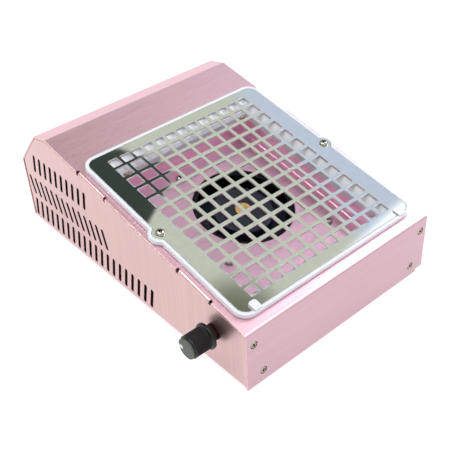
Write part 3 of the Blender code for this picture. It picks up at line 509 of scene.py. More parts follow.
# The sheet's pink in three tones: the top keeps the lightest, while the front, rear and side panels and the
# rear bevel take darker copies of the same pink, as painted shade.
PINK_TOP = anodised("pink_brushed_across", (0.99, 0.645, 0.73), (0.94, 0.58, 0.665), "X", 0.30)
PINK_SIDE_SHADED = anodised("pink_brushed_upright_painted_shade", (0.64, 0.455, 0.445), (0.58, 0.40, 0.395), "Z", 0.36)
PINK_FRONT_SHADED = anodised("pink_brushed_front_painted_shade", (0.53, 0.365, 0.405), (0.49, 0.325, 0.375), "X", 0.34)
PINK_CUT = anodised("pink_cut_edge", (0.78, 0.54, 0.54), (0.66, 0.40, 0.40), "Y", 0.42)
PINK_TRAY = anodised("pink_tray", (0.84, 0.55, 0.69), (0.78, 0.48, 0.62), "X", 0.30, 0.9)
# Near-black walls of the louvre slots: painted shade inside the slots.
SLOT_WALL_SHADE = anodised("pink_slot_wall_painted_shade", (0.085, 0.022, 0.028), (0.05, 0.014, 0.018), "Z", 0.6)
WHITE = plastic("white_moulding", (0.58, 0.595, 0.635), (0.54, 0.555, 0.60), 0.30, 900.0, 0.01)
STEEL = metal("mirror_plate", (0.86, 0.87, 0.85), (0.82, 0.83, 0.81), 0.03, (0.05, 1.0, 1.0), 900.0, 0.0006)
STEEL_CUT = metal("punched_edge", (0.74, 0.75, 0.73), (0.66, 0.67, 0.66), 0.34,
                  (1.0, 1.0, 0.1), 900.0, 0.01, 0.7)
# Dark walls of the cross recess: painted shade inside the screw heads.
RECESS_SHADE = metal("driver_recess_painted_shade", (0.055, 0.045, 0.025), (0.03, 0.024, 0.014), 0.35, EVEN, 700.0, 0.006)
DOME = metal("dome_plating", (0.34, 0.35, 0.335), (0.22, 0.22, 0.20), 0.36, EVEN, 700.0, 0.006, 0.8)
SCREW = metal("screw_plating", (0.40, 0.385, 0.33), (0.20, 0.17, 0.10), 0.13, EVEN, 700.0, 0.004)
BRASS = metal("turned_brass", (0.95, 0.66, 0.25), (0.80, 0.50, 0.16), 0.28, EVEN, 500.0, 0.001)
BLACK = plastic("black_moulding", (0.003, 0.0035, 0.0045), (0.005, 0.006, 0.008), 0.55, 700.0, 0.02, 0.12)
HUB = plastic("hub_satin", (0.010, 0.012, 0.021), (0.015, 0.018, 0.030), 0.30, 500.0, 0.012, 0.32)
KNOB_GRIP = plastic("knob_grip", (0.006, 0.005, 0.005), (0.010, 0.008, 0.008), 0.45, 900.0, 0.01, 0.2)
KNOB_RIM = plastic("knob_rim", (0.004, 0.006, 0.006), (0.006, 0.009, 0.009), 0.26, 900.0, 0.006, 0.35)
KNOB_CAP = plastic("knob_cap", (0.066, 0.078, 0.064), (0.050, 0.060, 0.050), 0.46, 900.0, 0.012, 0.4)
BRASS_DULL = metal("dull_brass", (0.50, 0.42, 0.27), (0.33, 0.26, 0.15), 0.30, EVEN, 500.0, 0.006)
# Near-black brass for the knob's nut and washer: painted shade between the knob and the panel.
BRASS_SHADE = metal("brass_painted_shade", (0.040, 0.022, 0.018), (0.022, 0.012, 0.010), 0.42, EVEN, 500.0, 0.006)
RUBBER = plastic("foot_rubber", (0.020, 0.020, 0.021), (0.032, 0.032, 0.032), 0.75, 400.0, 0.04)
BOARD = plastic("board_resist", (0.030, 0.160, 0.070), (0.020, 0.110, 0.050), 0.35, 500.0, 0.02)
COPPER = metal("wound_copper", (0.72, 0.34, 0.16), (0.48, 0.20, 0.09), 0.30, EVEN, 900.0, 0.03)
MAGNET = metal("magnet_ferrite", (0.16, 0.16, 0.17), (0.09, 0.09, 0.10), 0.55, EVEN, 500.0, 0.03)
LEAD = plastic("lead_sleeve", (0.020, 0.020, 0.022), (0.035, 0.035, 0.036), 0.50, 500.0, 0.01)


# Putting pieces in the scene

def put(name, mesh, place, material, body="housing", nodes=(), smooth=35.0, bevel=0.0):
    """Show a mesh as a piece that rides on a body and stands for CAD nodes."""
    made = bpy.data.objects.new(name, mesh)
    made.matrix_world = place
    if not mesh.materials:
        mesh.materials.append(material)
    bpy.context.scene.collection.objects.link(made)
    mesh.shade_smooth()
    mesh.set_sharp_from_angle(angle=math.radians(smooth))
    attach(made, body)
    if nodes:
        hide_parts(*nodes)
    if bevel:
        soften(made, bevel)
    flat = made.modifiers.new("flat_faces", "WEIGHTED_NORMAL")
    flat.mode = "FACE_AREA"
    flat.weight = 100
    flat.keep_sharp = True
    return made


def soften(piece, width):
    """Round a piece's sharp edges a little."""
    edge = piece.modifiers.new("soft_edges", "BEVEL")
    edge.width = width * MM
    edge.segments = 2
    edge.limit_method = "ANGLE"
    edge.angle_limit = math.radians(40.0)
    edge.use_clamp_overlap = True


# Housing

def housing_profile():
    return [(-HALF_Y, SKIRT_Z), (-HALF_Y, FRONT_TOP_Z), (HALF_Y - RIDGE_BACK, RIDGE_Z),
            (HALF_Y - BREAK_BACK, BREAK_Z), (HALF_Y, REAR_TOP_Z), (HALF_Y, SKIRT_Z)]


def up_slope(distance, depth=0.0):
    """(y, z) of a spot on the sloped top, or under it."""
    return (FRONT_TOP.y + distance * math.cos(SLOPE) + depth * math.sin(SLOPE),
            FRONT_TOP.z + distance * math.sin(SLOPE) - depth * math.cos(SLOPE))


def cover_edge(path):
    """The right-hand edge of the cover's flat pattern, front to rear, with the tabs and their notches."""
    end = path.lengths[-1]
    step = EDGE_Z - SKIRT_Z
    tab = HALF_X - TAB_BEND + TAB_BEND * math.pi / 2
    edge = [(0.0, SKIRT_HALF), (step, SKIRT_HALF), (step, HALF_X)]
    for start, stop in TABS:
        u0, u1 = path.u(up_slope(start)), path.u(up_slope(stop))
        edge += [(u0 - NOTCH, HALF_X), (u0 - NOTCH, HALF_X - NOTCH), (u0, HALF_X - NOTCH), (u0, tab)]
        edge += [(u1, tab), (u1, HALF_X - NOTCH), (u1 + NOTCH, HALF_X - NOTCH), (u1 + NOTCH, HALF_X)]
    return edge + [(end - step, HALF_X), (end - step, SKIRT_HALF), (end, SKIRT_HALF)]


def curl_tabs(mesh, path):
    """Turn the pattern's tabs down over the sides, while it is still flat."""
    work = bmesh.new()
    work.from_mesh(mesh)
    flat = HALF_X - TAB_BEND
    spans = [(path.u(up_slope(a)) - 0.01, path.u(up_slope(b)) + 0.01) for a, b in TABS]
    steps = 6
    for k in range(steps):
        for side in (-1, 1):
            line = side * (flat + TAB_BEND * math.pi / 2 * k / steps) * MM
            geometry = work.verts[:] + work.edges[:] + work.faces[:]
            bmesh.ops.bisect_plane(work, geom=geometry, dist=0.0000001, plane_co=(0, line, 0),
                                   plane_no=(0, 1, 0))
    for vert in work.verts:
        across = abs(vert.co.y) / MM
        if across <= flat or not any(a <= vert.co.x / MM <= b for a, b in spans):
            continue
        angle = (across - flat) / TAB_BEND
        radius = TAB_BEND + vert.co.z / MM
        vert.co.y = math.copysign(flat + radius * math.sin(angle), vert.co.y) * MM
        vert.co.z = (radius * math.cos(angle) - TAB_BEND) * MM
    work.to_mesh(mesh)
    work.free()
    return mesh


def paint(mesh, materials, choose):
    """Give a mesh its materials, and each face the one whose number choose(face) returns."""
    for material in materials:
        mesh.materials.append(material)
    for face in mesh.polygons:
        face.material_index = choose(face)


def cover_finish(face):
    """0 for the top, 1 for a cut edge or a tab's bend, 2 for the front and rear panels, 3 for the rear
    bevel; 2 and 3 take darker copies of the pink, as painted shade.
    """
    if abs(face.normal.x) > 0.6:
        return 1
    if abs(face.normal.y) > 0.8:
        return 2
    return 3 if face.normal.y > 0.35 else 0


def build_cover():
    path = Path(housing_profile(), [0, BEND, BEND, BEND, BEND, 0])
    right = cover_edge(path)
    outline = right + [(u, -x) for u, x in reversed(right[3:])] + [(0.0, -HALF_X)]
    half, low, high = TOP_OPENING
    holes = [box_outline(path.u(up_slope(low)), path.u(up_slope(high)), -half, half, 6.0)]
    for side in (-1, 1):
        holes.append(circle((path.u(up_slope(GRILLE_Y)), side * EAR_X), 1.8, 24))
        for face in (-HALF_Y, HALF_Y):
            for x, z in PANEL_SCREWS:
                holes.append(circle((path.u((face, z)), side * x), PANEL_HEAD + GAP, 32))
    jack = HOUSING.inverted() @ JACK.translation / MM
    holes.append(circle((path.u((HALF_Y, jack.z)), jack.x), 5.8, 40))
    pattern = slab([outline] + holes, -SHEET, 0.0)
    sheet = fold(curl_tabs(pattern, path), path, "X")
    # The front, rear and rear bevel faces take darker copies of the pink, as painted shade.
    paint(sheet, (PINK_TOP, PINK_CUT, PINK_FRONT_SHADED, PINK_SIDE_SHADED), cover_finish)
    put("housing_cover", sheet, HOUSING, PINK_TOP, nodes=["housing_shell"])


def side_outline(path):
    """The side sheet's flat pattern: (u, height) points, the panel with its flanges."""
    face = HALF_Y - SHEET - GAP
    shift = path.u((HALF_X, 0.0))
    inner = offset_path(housing_profile(), SHEET + GAP)
    panel_top = inner[1:-1]
    reach = path.lengths[-1]
    front_z, rear_z = panel_top[0][1] - 2.0, panel_top[-1][1] - 2.0
    top = [(0.0, EDGE_Z), (0.0, front_z), (shift - face + 0.6, front_z)]
    slope_points = []
    for start, stop in TABS:
        for distance, depth in ((start - NOTCH, SHEET + GAP), (start - NOTCH, NOTCH_DEPTH),
                                (start, NOTCH_DEPTH), (start, TAB_BEND),
                                (stop, TAB_BEND), (stop, NOTCH_DEPTH),
                                (stop + NOTCH, NOTCH_DEPTH), (stop + NOTCH, SHEET + GAP)):
            slope_points.append(up_slope(distance, depth))
    corner = up_slope(2.4, SHEET + GAP)
    top += [(shift + y, z) for y, z in [(corner[0], corner[1])] + slope_points + panel_top[1:-1]]
    last = panel_top[-1]
    before = panel_top[-2]
    t = 1.2 / math.dist(last, before)
    top.append((shift + last[0] + (before[0] - last[0]) * t, last[1] + (before[1] - last[1]) * t))
    top += [(shift + face - 0.6, rear_z), (reach, rear_z), (reach, EDGE_Z)]
    return top, shift


def in_louvres(y, z):
    """True in the louvre rows' area, which holds no other cut edge of the side sheet."""
    for centre_y, centre_z, count, length, _ in LOUVRES:
        half = (count * LOUVRE_PITCH + length) / 2
        if abs(y - centre_y) < half and abs(z - EDGE_Z - centre_z) < length / 2:
            return True
    return False


def build_sides():
    face = HALF_Y - SHEET - GAP
    corners = [(FLANGE_X, -face), (HALF_X, -face), (HALF_X, face), (FLANGE_X, face)]
    path = Path(corners, [0, BEND, BEND, 0])
    outline, shift = side_outline(path)
    slots = []
    for centre_y, centre_z, count, length, lean in LOUVRES:
        for i in range(count):
            y = centre_y + (i - (count - 1) / 2) * LOUVRE_PITCH
            slots.append(capsule((shift + y, EDGE_Z + centre_z), length, LOUVRE_WIDTH, lean))
    knob = HOUSING.inverted() @ KNOB.translation / MM
    hole = circle((shift + knob.y, knob.z), BUSHING_RADIUS + GAP, 32)
    for word, side in (("right", 1), ("left", -1)):
        holes = slots + [hole] if side < 0 else slots
        pattern = slab([outline] + holes, 0.0, SHEET)
        # The louvre slots' walls take the near-black pink, as painted shade.
        paint(pattern, (PINK_SIDE_SHADED, SLOT_WALL_SHADE), lambda face: int(
            abs(face.normal.z) < FLAT and in_louvres(face.center.x / MM - shift, face.center.y / MM)))
        sheet = fold(pattern, path, "Z")
        if side < 0:
            sheet.transform(Matrix.Scale(-1.0, 4, (1, 0, 0)))
            sheet.flip_normals()
        # The side sheet takes a darker copy of the pink, as painted shade.
        put(f"housing_side_{word}", sheet, HOUSING, PINK_SIDE_SHADED)


# Fasteners: the seat is at height 0 and the head points up

def cross_recess(top, depth, arm):
    """The shape of a cross driver's tip."""
    half, root = arm * 0.22, arm * 0.30
    cross = [(arm, -half), (arm, half), (root, root), (half, arm), (-half, arm), (-root, root),
             (-arm, half), (-arm, -half), (-root, -root), (-half, -arm), (half, -arm), (root, -root)]
    rings = []
    for level, share in ((top + 1.0, 1.12), (top, 1.0), (top - depth * 0.55, 0.72), (top - depth, 0.18)):
        rings.append([(x * share, y * share, level) for x, y in cross])
    return loft(rings)


def screw_mesh(profile, top, depth, arm, finish):
    """A turned screw with a cross recess whose walls are painted darker than the head, as shade in the
    recess.
    """
    screw = combined(turned(profile, 40), "DIFFERENCE", cross_recess(top, depth, arm))

    def in_recess(face):
        spot = face.center / MM
        inside = math.hypot(spot.x, spot.y) < arm and top - depth - 0.1 < spot.z < top - 0.1
        return int(inside and not is_crown(face, spot))

    paint(screw, (finish, RECESS_SHADE), in_recess)
    return screw


def is_crown(face, spot):
    """True for the crown of a domed head, which looks outward from the screw's axis."""
    return face.normal.z > 0.2 and face.normal.x * spot.x + face.normal.y * spot.y > 0.02


def domed_screw(head, height, length, finish):
    """A pan head whose crown is a shallow dome."""
    crown = [(head * math.sin(math.radians(a)), height * (0.25 + 0.75 * math.cos(math.radians(a))))
             for a in range(0, 91, 10)]
    profile = crown + [(head, 0.15), (head - 0.15, 0.0), (1.4, 0.0), (1.4, -length), (0.0, -length)]
    return screw_mesh(profile, height, height * 0.75, head * 0.58, finish)


def flat_screw(head, height, length):
    """A countersunk screw whose face sits just under the panel's."""
    profile = [(0.0, -0.12), (head - 0.35, -0.12), (head - 0.1, -0.2), (head, -0.35), (1.4, -height),
               (1.4, -length), (0.0, -length)]
    return screw_mesh(profile, -0.12, height * 0.8, head * 0.66, SCREW)


def build_screws():
    """Every screw: head radius, head height and length in mm."""
    panel = flat_screw(PANEL_HEAD - GAP, 1.6, 7.0)
    for word, face, tilt in (("front", -HALF_Y, math.pi / 2), ("rear", HALF_Y, -math.pi / 2)):
        number = 0
        for x, z in PANEL_SCREWS:
            for side in (-1, 1):
                number += 1
                spin = Matrix.Rotation(0.5 * number, 4, "Z")
                place = HOUSING @ at(side * x, face, z, tilt) @ spin
                put(f"{word}_panel_screw_{number}", panel, place, SCREW,
                    nodes=[f"{word}_screw_{number}"])

    grille = domed_screw(3.4, 2.2, 9.0, SCREW)
    for word, side in (("left", -1), ("right", 1)):
        place = SLOPED @ at(side * EAR_X, GRILLE_Y, GRILLE_TOP + GAP / 2, 0.4, "Z")
        put(f"ear_screw_{word}", grille, place, SCREW, nodes=[f"grille_screw_{word}"])

    tray = domed_screw(2.4, 1.5, 5.5, BRASS_DULL)
    number = 0
    for y, turn in ((FUNNEL_LOW[1], -1), (FUNNEL_LOW[2], 1)):
        for side in (-1, 1):
            number += 1
            place = at(side * TRAY_SCREW_X, y - turn * GAP / 2, TRAY_SCREW_Z, turn * math.pi / 2)
            put(f"tray_brass_screw_{number}", tray, SLOPED @ place, BRASS_DULL,
                nodes=[f"tray_screw_{number}"])

    fan = domed_screw(3.9, 3.3, 11.0, DOME)
    for number, (x, y) in enumerate(FAN_SCREWS, 1):
        put(f"fan_dome_screw_{number}", fan, FAN @ at(x, y, TRAY_FLOOR + GAP / 2, 0.7 * number, "Z"), DOME,
            nodes=[f"fan_screw_{number}"])

    base = domed_screw(2.8, 1.6, 6.0, SCREW)
    for number in range(1, 5):
        low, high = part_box(f"base_screw_{number}")
        place = Matrix.Translation(((low.x + high.x) / 2, (low.y + high.y) / 2, (BASE_Z - GAP / 2) * MM))
        place = place @ Matrix.Rotation(math.pi, 4, "X")
        put(f"base_pan_screw_{number}", base, place, SCREW, nodes=[f"base_screw_{number}"])


def build_feet():
    profile = [(0.0, BASE_Z - GAP)]
    profile += rounded([(7.0, BASE_Z - GAP), (6.8, 0.0), (0.0, 0.0)], [0.0, 0.9, 0.0], 5, closed=False)
    profile[-1:] = [(4.6, 0.0), (4.2, 0.45), (0.0, 0.45)]
    foot = turned(profile, 48)
    for number in range(1, 5):
        low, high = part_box(f"rubber_foot_{number}")
        place = Matrix.Translation(((low.x + high.x) / 2, (low.y + high.y) / 2, 0.0))
        put(f"foot_pad_{number}", foot, place, RUBBER, nodes=[f"rubber_foot_{number}"])


# White frame and grille

def funnel_solid(grow):
    """The space inside the funnel, or its outer skin when grown by the wall."""
    levels = ((FUNNEL_TOP, LEDGE_TOP + 1.0 - grow), (FUNNEL_TOP, LEDGE_TOP - grow),
              (FUNNEL_LOW, FUNNEL_KNEE), (FUNNEL_LOW, FUNNEL_END - 1.0 + grow))
    rings = []
    for (half, low, high), z in levels:
        outline = box_outline(-half - grow, half + grow, low - grow, high + grow, 1.8 + grow, 5)
        rings.append([(x, y, z) for x, y in outline])
    return loft(rings)


def build_frame():
    rim = slab([eared_outline(RIM + GAP), eared_outline(GAP)], GAP, RIM_TOP, 0.55, 3)
    ledge = slab([eared_outline(RIM - 0.6)], GAP, LEDGE_TOP, 0.1)
    skin = combined(ledge, "UNION", funnel_solid(FUNNEL_WALL))
    skin = combined(skin, "DIFFERENCE", funnel_solid(0.0))
    front = GRILLE_Y - GRILLE_HALF[1]
    clips = []
    for side in (-1, 1):
        left, right = side * CLIP_X - CLIP_WIDTH / 2, side * CLIP_X + CLIP_WIDTH / 2
        outline = rounded([(left, front - RIM + 0.4), (right, front - RIM + 0.4),
                           (right, front + CLIP_REACH), (left, front + CLIP_REACH)], [0.6, 0.6, 1.9, 1.9])
        clips.append(slab([outline], GRILLE_TOP + GAP, RIM_TOP + CLIP_RISE, 0.4, 3))
        root = box_outline(left + 0.7, right - 0.2, front - RIM + 0.8, front - GAP - 0.2, 0.3, 3)
        clips.append(slab([root], RIM_TOP - 1.0, RIM_TOP + 0.8, 0.1))
    holes = [slab([circle((side * EAR_X, GRILLE_Y), 1.8, 24)], -1.0, 4.0, 0.0) for side in (-1, 1)]
    body = combined(rim, "UNION", skin, *clips)
    body = combined(body, "DIFFERENCE", merged(holes))
    put("frame_moulding", body, SLOPED, WHITE, nodes=["filter_frame"])


def square(centre, size):
    (x, y), half = centre, size / 2
    return box_outline(x - half, x + half, y - half, y + half, HOLE_CORNER, 4)


def build_grille():
    holes = [square((c * HOLE_PITCH[0], GRILLE_Y + r * HOLE_PITCH[1]), HOLE)
             for r in range(-5, 6) for c in range(-5, 6)]
    for side in (-1, 1):
        row_y = GRILLE_Y + side * SMALL_ROW_Y
        holes += [square((c * SMALL_PITCH, row_y), SMALL_HOLE) for c in range(-6, 7)]
        holes.append(circle((side * EAR_X, GRILLE_Y), 1.8, 24))
    plate = slab([eared_outline(0.0)] + holes, GRILLE_TOP - SHEET, GRILLE_TOP, 0.09, 2)
    paint(plate, (STEEL, STEEL_CUT), lambda face: int(abs(face.normal.z) < FLAT))
    put("grille", plate, SLOPED, STEEL, nodes=["grille_plate"], smooth=12.0)


# Tray

def tray_solid(grow, top):
    """The tray's inside, or its outside when grown, with soft bottom bends."""
    radius = 1.6 + grow
    rings = []
    for share in [0.0] + [math.radians(a) for a in range(0, 91, 15)]:
        inset = radius * (1.0 - math.cos(share)) if rings else 0.0
        level = TRAY_FLOOR - grow + radius * (1.0 - math.sin(share)) if rings else top
        half, low, high = TRAY_HALF + grow - inset, TRAY_Y[0] - grow + inset, TRAY_Y[1] + grow - inset
        outline = box_outline(-half, half, low, high, max(2.0 + grow - inset * 0.6, 0.8), 5)
        rings.append([(x, y, level) for x, y in outline])
    return loft(rings)


def build_tray():
    tray = combined(tray_solid(SHEET, TRAY_TOP), "DIFFERENCE", tray_solid(0.0, TRAY_TOP + 2.0))
    fan_x, fan_y = fan_spot.x / MM, fan_spot.y / MM
    holes = [slab([circle((fan_x, fan_y), INLET_RADIUS, 128)], TRAY_FLOOR - 4.0, TRAY_FLOOR + 4.0, 0.0)]
    holes += [slab([circle((fan_x + x, fan_y + y), 1.8, 24)], TRAY_FLOOR - 4.0, TRAY_FLOOR + 4.0, 0.0)
              for x, y in FAN_SCREWS]
    tray = combined(tray, "DIFFERENCE", merged(holes))
    put("tray", tray, SLOPED, PINK_TRAY, nodes=["dust_tray"], bevel=0.15)


# Blower

def build_inlet():
    """The black bell mouth under the tray's hole; the casing's own cover plate stays as the CAD has it."""
    top = TRAY_FLOOR - SHEET - GAP
    inner, outer = COVER_INLET_RADIUS - 0.05, COVER_INLET_RADIUS + 1.2
    profile = rounded([(outer, top + 0.1), (outer, top - SHEET), (inner, top - SHEET - 0.4),
                       (inner, top + 0.1)], [0.1, 0.3, 0.3, 0.6], 4)
    put("fan_bell_mouth", turned(profile, 128, ring=True), FAN, BLACK)


def blade(angle):
    """A forward-curved blade's outline."""
    inner, outer, thick = BLADE_INNER + 0.4, BLADE_OUTER - 0.4, 1.1
    steps = 6
    track = []
    for k in range(steps + 1):
        t = k / steps
        track.append((inner + (outer - inner) * t, 7.6 * t ** 1.55))
    one = [arc((0, 0), r, angle + a, angle + a, 1)[0] for r, a in track]
    other = [arc((0, 0), r, angle + a + math.degrees(thick / r), angle + a, 1)[0] for r, a in track]
    return one + other[::-1]


def build_impeller():
    top, low = HUB_TOP, BACK_DISC[1]
    seat = 6.5 + GAP
    corners = [(seat, top), (HUB_RADIUS, top), (HUB_RADIUS, BACK_DISC[0]), (BLADE_OUTER, BACK_DISC[0]),
               (BLADE_OUTER, low), (HUB_RADIUS - 1.5, low), (HUB_RADIUS - 1.5, top - 1.8), (3.3, top - 1.8),
               (3.3, top - 1.1), (seat, top - 1.1)]
    profile = rounded(corners, [0.2, 1.7, 0.8, 0.2, 0.2, 0.0, 0.3, 0.0, 0.0, 0.0], 6)
    hub = turned(profile, 96, ring=True)
    put("impeller_hub", hub, FAN, HUB, "rotor", ["impeller"])
    blades = [slab([blade(360.0 * i / BLADES + BLADE_TURN)], BACK_DISC[0] - 0.2, BLADE_TOP, 0.1)
              for i in range(BLADES)]
    shroud = rounded([(BLADE_OUTER, SHROUD[0]), (BLADE_OUTER, SHROUD[1]), (BLADE_INNER, SHROUD[1]),
                      (BLADE_INNER, SHROUD[0])], [0.5] * 4, 4)
    wheel = combined(turned(shroud, 96, ring=True), "UNION", merged(blades))
    put("impeller_blades", wheel, FAN, BLACK, "rotor")

    ring = rounded([(6.5, top + 0.4), (6.5, top - 0.8), (2.2, top - 0.8), (2.2, top + 0.4)],
                   [0.45, 0.0, 0.0, 0.25], 4)
    put("brass_hub_ring", turned(ring, 64, ring=True), FAN, BRASS, "rotor", ["hub_bushing"])


# Knob

def build_knob():
    foot, tip = KNOB_FOOT, KNOB_TIP - CAP_DROP
    neck = KNOB_RADIUS - 0.5
    skirt = rounded([(neck, foot + 3.6), (neck + 0.2, foot + 2.9), (SKIRT_RADIUS, foot + 2.1),
                     (SKIRT_RADIUS, foot), (6.6, foot), (6.6, foot + 2.0), (4.0, foot + 2.0),
                     (4.0, foot + 3.6)],
                    [0.0, 0.6, 0.6, 0.5, 0.2, 0.0, 0.0, 0.0], 5)
    put("knob_skirt", turned(skirt, 96, ring=True), KNOB, KNOB_RIM, "knob", ["speed_knob"])
    shoulder = tip - 1.7
    grip = knurled_grip(foot + 3.1, shoulder - 1.2)
    put("knob_body", grip, KNOB, KNOB_GRIP, "knob", smooth=70.0)
    collar = rounded([(0.0, shoulder), (KNOB_RADIUS, shoulder), (KNOB_RADIUS, shoulder - 1.3),
                      (KNOB_RADIUS - 0.6, shoulder - 1.6), (0.0, shoulder - 1.6)], [0, 0.9, 0.2, 0, 0], 6)
    put("knob_collar", turned(collar, 96), KNOB, KNOB_RIM, "knob")
    face = rounded([(0.0, tip), (CAP_RADIUS, tip), (CAP_RADIUS, tip - 1.2), (CAP_RADIUS - 0.5, tip - 1.4),
                    (CAP_RADIUS - 0.5, shoulder - 0.2), (0.0, shoulder - 0.2)], [0, 0.35, 0.15, 0, 0, 0], 5)
    put("knob_cap", turned(face, 96), KNOB, KNOB_CAP, "knob")
    mark = slab([box_outline(-MARK_HALF, MARK_HALF, *MARK_REACH, 0.6, 4)], tip - 0.6, KNOB_TIP, 0.08)
    mark = moved(mark, Matrix.Rotation(MARK_TURN, 4, "Z"))
    put("knob_mark", mark, KNOB, WHITE, "knob")


def knurled_grip(low, high):
    """A cylinder with a fine diamond grip between two plain bands."""
    around, rows = 336, 60
    lines, depth = 42, 0.42
    base = KNOB_RADIUS - 0.05
    pitch = 2 * math.pi * base / lines
    rings = []
    for j in range(rows + 1):
        z = low + (high - low) * j / rows
        fade = min(1.0, min(z - low, high - z) / 0.8)
        ring = []
        for i in range(around):
            angle = math.tau * i / around
            first = math.cos(lines * angle + math.tau * z / pitch)
            second = math.cos(lines * angle - math.tau * z / pitch)
            radius = base - depth * fade * (1.0 - min(first, second)) / 2
            ring.append((radius * math.cos(angle), radius * math.sin(angle), z))
        rings.append(ring)
    return loft(rings[::-1])


# Rear power inlet

def build_jack():
    flange = GAP + 2.0
    profile = [(0.0, -8.0), (2.8, -8.0)]
    profile += rounded([(2.8, flange), (7.2, flange), (7.2, GAP)], [0.3, 0.7, 0.2], 5, closed=True)
    profile += [(5.5, GAP), (5.5, -11.5), (0.0, -11.5)]
    put("power_inlet", turned(profile, 64), JACK, BLACK, nodes=["dc_jack"])


# Carried-over CAD nodes

def finish_cad_nodes():
    """Materials for the nodes that are shown as the CAD has them."""
    looks = ((PINK_TRAY, ("base_plate",)),
             (BLACK, ("fan_cover", "fan_case", "board_capacitor", "board_transistor")),
             (SCREW, ("fan_shaft", "pot_shaft", "pot_body", "dc_jack_pin", "dc_jack_nut")),
             (BRASS, ("motor_sleeve", "pot_bushing", "board_spacer_1", "board_spacer_2")),
             # The nut and washer under the knob take the near-black brass, as painted shade.
             (BRASS_SHADE, ("pot_nut", "pot_washer")),
             (BOARD, ("motor_board", "control_board")),
             (LEAD, ("speed_lead", "power_lead", "motor_lead")),
             (MAGNET, ("rotor_magnet",)),
             (COPPER, ("motor_stator",)))
    for material, names in looks:
        for name in names:
            node = frame["nodes"][name]
            node.data.materials.clear()
            node.data.materials.append(material)


# Stage

CAMERA_AZIMUTH, CAMERA_ELEVATION, CAMERA_ROLL = -39.25, 37.48, -3.244
CAMERA_DISTANCE, CAMERA_RIGHT, CAMERA_UP = 0.66132, 0.006575, 0.009943
CAMERA_LENS = 64.96
CAMERA_TARGET = Vector((CENTRE.x, CENTRE.y, EDGE_Z * MM))
LIGHT_TARGET = (CENTRE.x, CENTRE.y, 0.04)

# The studio around the collector: each zone's limits, then its colour. A limit is a direction and the
# two cosines between which the zone begins. Later zones cover earlier ones.
SURROUND = (1.0, 1.0, 1.0)
ZONES = {
    "sage_walls": ([((0.0, 0.0, 1.0), 0.05, 0.55)], (0.60, 0.64, 0.545)),
    "bright_front": ([((0.0, -0.91, 0.41), 0.35, 0.85)], (1.05, 1.05, 1.06)),
    "ceiling": ([((0.0, 0.0, 1.0), 0.87, 0.95)], (1.05, 0.98, 1.0)),
    "shade": ([((0.455, 0.225, 0.862), 0.9970, 0.9999)], (0.17, 0.19, 0.13)),
    "window": ([((0.793, -0.045, -0.608), -0.008, 0.03), ((0.72, 0.10, 0.60), 0.70, 0.80)],
               (0.58, 0.66, 0.80)),
    "lamp": ([((0.0, -1.0, 0.0), -0.213, -0.198), ((0.80, 0.0, 0.60), 0.80, 0.90)], (1.25, 1.32, 1.42)),
    "doorway": ([((-0.611, -0.469, 0.637), -0.001, 0.004), ((-0.853, 0.011, 0.522), -0.001, 0.004),
                 ((-0.484, 0.862, -0.148), -0.001, 0.004), ((0.38, 0.50, 0.78), 0.9660, 0.9720)],
                (0.045, 0.060, 0.052)),
}


def build_camera():
    """The camera stands at the front left, looking down on the collector."""
    camera = bpy.data.objects.new("camera", bpy.data.cameras.new("camera"))
    bpy.context.scene.collection.objects.link(camera)
    azimuth, elevation = math.radians(CAMERA_AZIMUTH), math.radians(CAMERA_ELEVATION)
    roll = math.radians(CAMERA_ROLL)
    back = Vector((math.sin(azimuth) * math.cos(elevation), -math.cos(azimuth) * math.cos(elevation),
                   math.sin(elevation)))
    side = (-back).cross(Vector((0, 0, 1))).normalized()
    up = side.cross(-back)
    right = side * math.cos(roll) + up * math.sin(roll)
    top = up * math.cos(roll) - side * math.sin(roll)
    turn = Matrix((right, top, back)).transposed()
    spot = CAMERA_TARGET + back * CAMERA_DISTANCE + right * CAMERA_RIGHT + top * CAMERA_UP
    camera.matrix_world = Matrix.Translation(spot) @ turn.to_4x4()
    camera.data.sensor_width = 36.0
    camera.data.lens = CAMERA_LENS
    camera.data.clip_start = 0.01
    bpy.context.scene.camera = camera


def build_floor():
    mesh = bpy.data.meshes.new("floor")
    work = bmesh.new()
    bmesh.ops.create_grid(work, x_segments=1, y_segments=1, size=6.0)
    work.to_mesh(mesh)
    work.free()
    floor = bpy.data.objects.new("floor", mesh)
    bpy.context.scene.collection.objects.link(floor)
    paper = Finish("pale_floor", (0.42, 0.42, 0.42), 0.9, Emission_Color=(1.0, 1.0, 1.0, 1.0),
                   Emission_Strength=0.72)
    mesh.materials.append(paper.material)


def area_light(name, spot, size, power, colour=(1.0, 1.0, 1.0)):
    """A rectangular lamp turned to the collector: place and size in metres, power in watts."""
    light = bpy.data.lights.new(name, "AREA")
    light.shape = "RECTANGLE"
    light.size, light.size_y = size
    light.energy = power
    light.color = colour
    made = bpy.data.objects.new(name, light)
    bpy.context.scene.collection.objects.link(made)
    made.location = spot
    made.rotation_euler = (Vector(LIGHT_TARGET) - Vector(spot)).to_track_quat("-Z", "Y").to_euler()
    return made


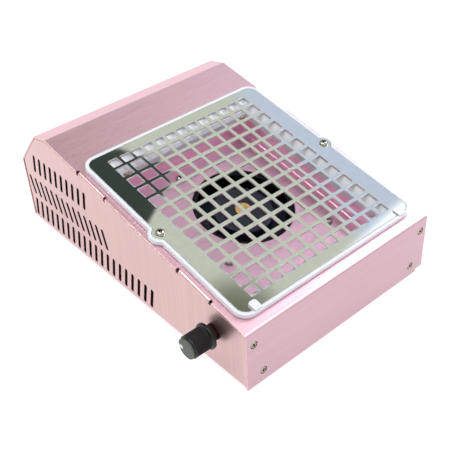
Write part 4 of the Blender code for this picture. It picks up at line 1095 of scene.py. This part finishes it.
def build_world():
    """The studio's surroundings, white near the floor, with the zones blended over one another."""
    world = bpy.data.worlds.new("studio")
    bpy.context.scene.world = world
    world.use_nodes = True
    tree = world.node_tree
    background = tree.nodes["Background"]
    coordinates = tree.nodes.new("ShaderNodeTexCoord")

    def facing(direction, start, end):
        """0 to 1 as a view direction turns from one cosine to another about an axis."""
        dot = tree.nodes.new("ShaderNodeVectorMath")
        dot.operation = "DOT_PRODUCT"
        dot.inputs[1].default_value = Vector(direction).normalized()
        tree.links.new(coordinates.outputs["Generated"], dot.inputs[0])
        ramp = tree.nodes.new("ShaderNodeMapRange")
        ramp.interpolation_type = "SMOOTHSTEP"
        ramp.inputs["From Min"].default_value = start
        ramp.inputs["From Max"].default_value = end
        tree.links.new(dot.outputs["Value"], ramp.inputs["Value"])
        return ramp.outputs["Result"]

    def blend(factor, first, second):
        made = tree.nodes.new("ShaderNodeMix")
        made.data_type = "RGBA"
        tree.links.new(factor, made.inputs[0])
        for socket, value in ((made.inputs[6], first), (made.inputs[7], second)):
            if isinstance(value, tuple):
                socket.default_value = (*value, 1.0)
            else:
                tree.links.new(value, socket)
        return made.outputs[2]

    def both(first, second):
        made = tree.nodes.new("ShaderNodeMath")
        made.operation = "MULTIPLY"
        tree.links.new(first, made.inputs[0])
        tree.links.new(second, made.inputs[1])
        return made.outputs["Value"]

    sky = SURROUND
    for limits, colour in ZONES.values():
        share = facing(*limits[0])
        for limit in limits[1:]:
            share = both(share, facing(*limit))
        sky = blend(share, sky, colour)
    tree.links.new(sky, background.inputs["Color"])
    background.inputs["Strength"].default_value = 1.0


def build_lights():
    """A softbox at the right, and a long narrow strip above that draws the grille's shadows in the tray."""
    area_light("softbox_right", (1.12, -0.22, 1.05), (0.5, 0.7), 9.0, (0.97, 0.98, 1.0))
    strip = area_light("strip_top", (-0.35, -0.05, 1.5), (0.07, 1.4), 12.0)
    strip.rotation_euler = (0.0, math.radians(-13.0), 0.0)


build_camera()
build_floor()
build_world()
build_lights()
build_cover()
build_sides()
build_screws()
build_feet()
build_frame()
build_grille()
build_tray()
build_inlet()
build_impeller()
build_knob()
build_jack()
finish_cad_nodes()

scene = bpy.context.scene
scene.view_settings.view_transform = "Standard"
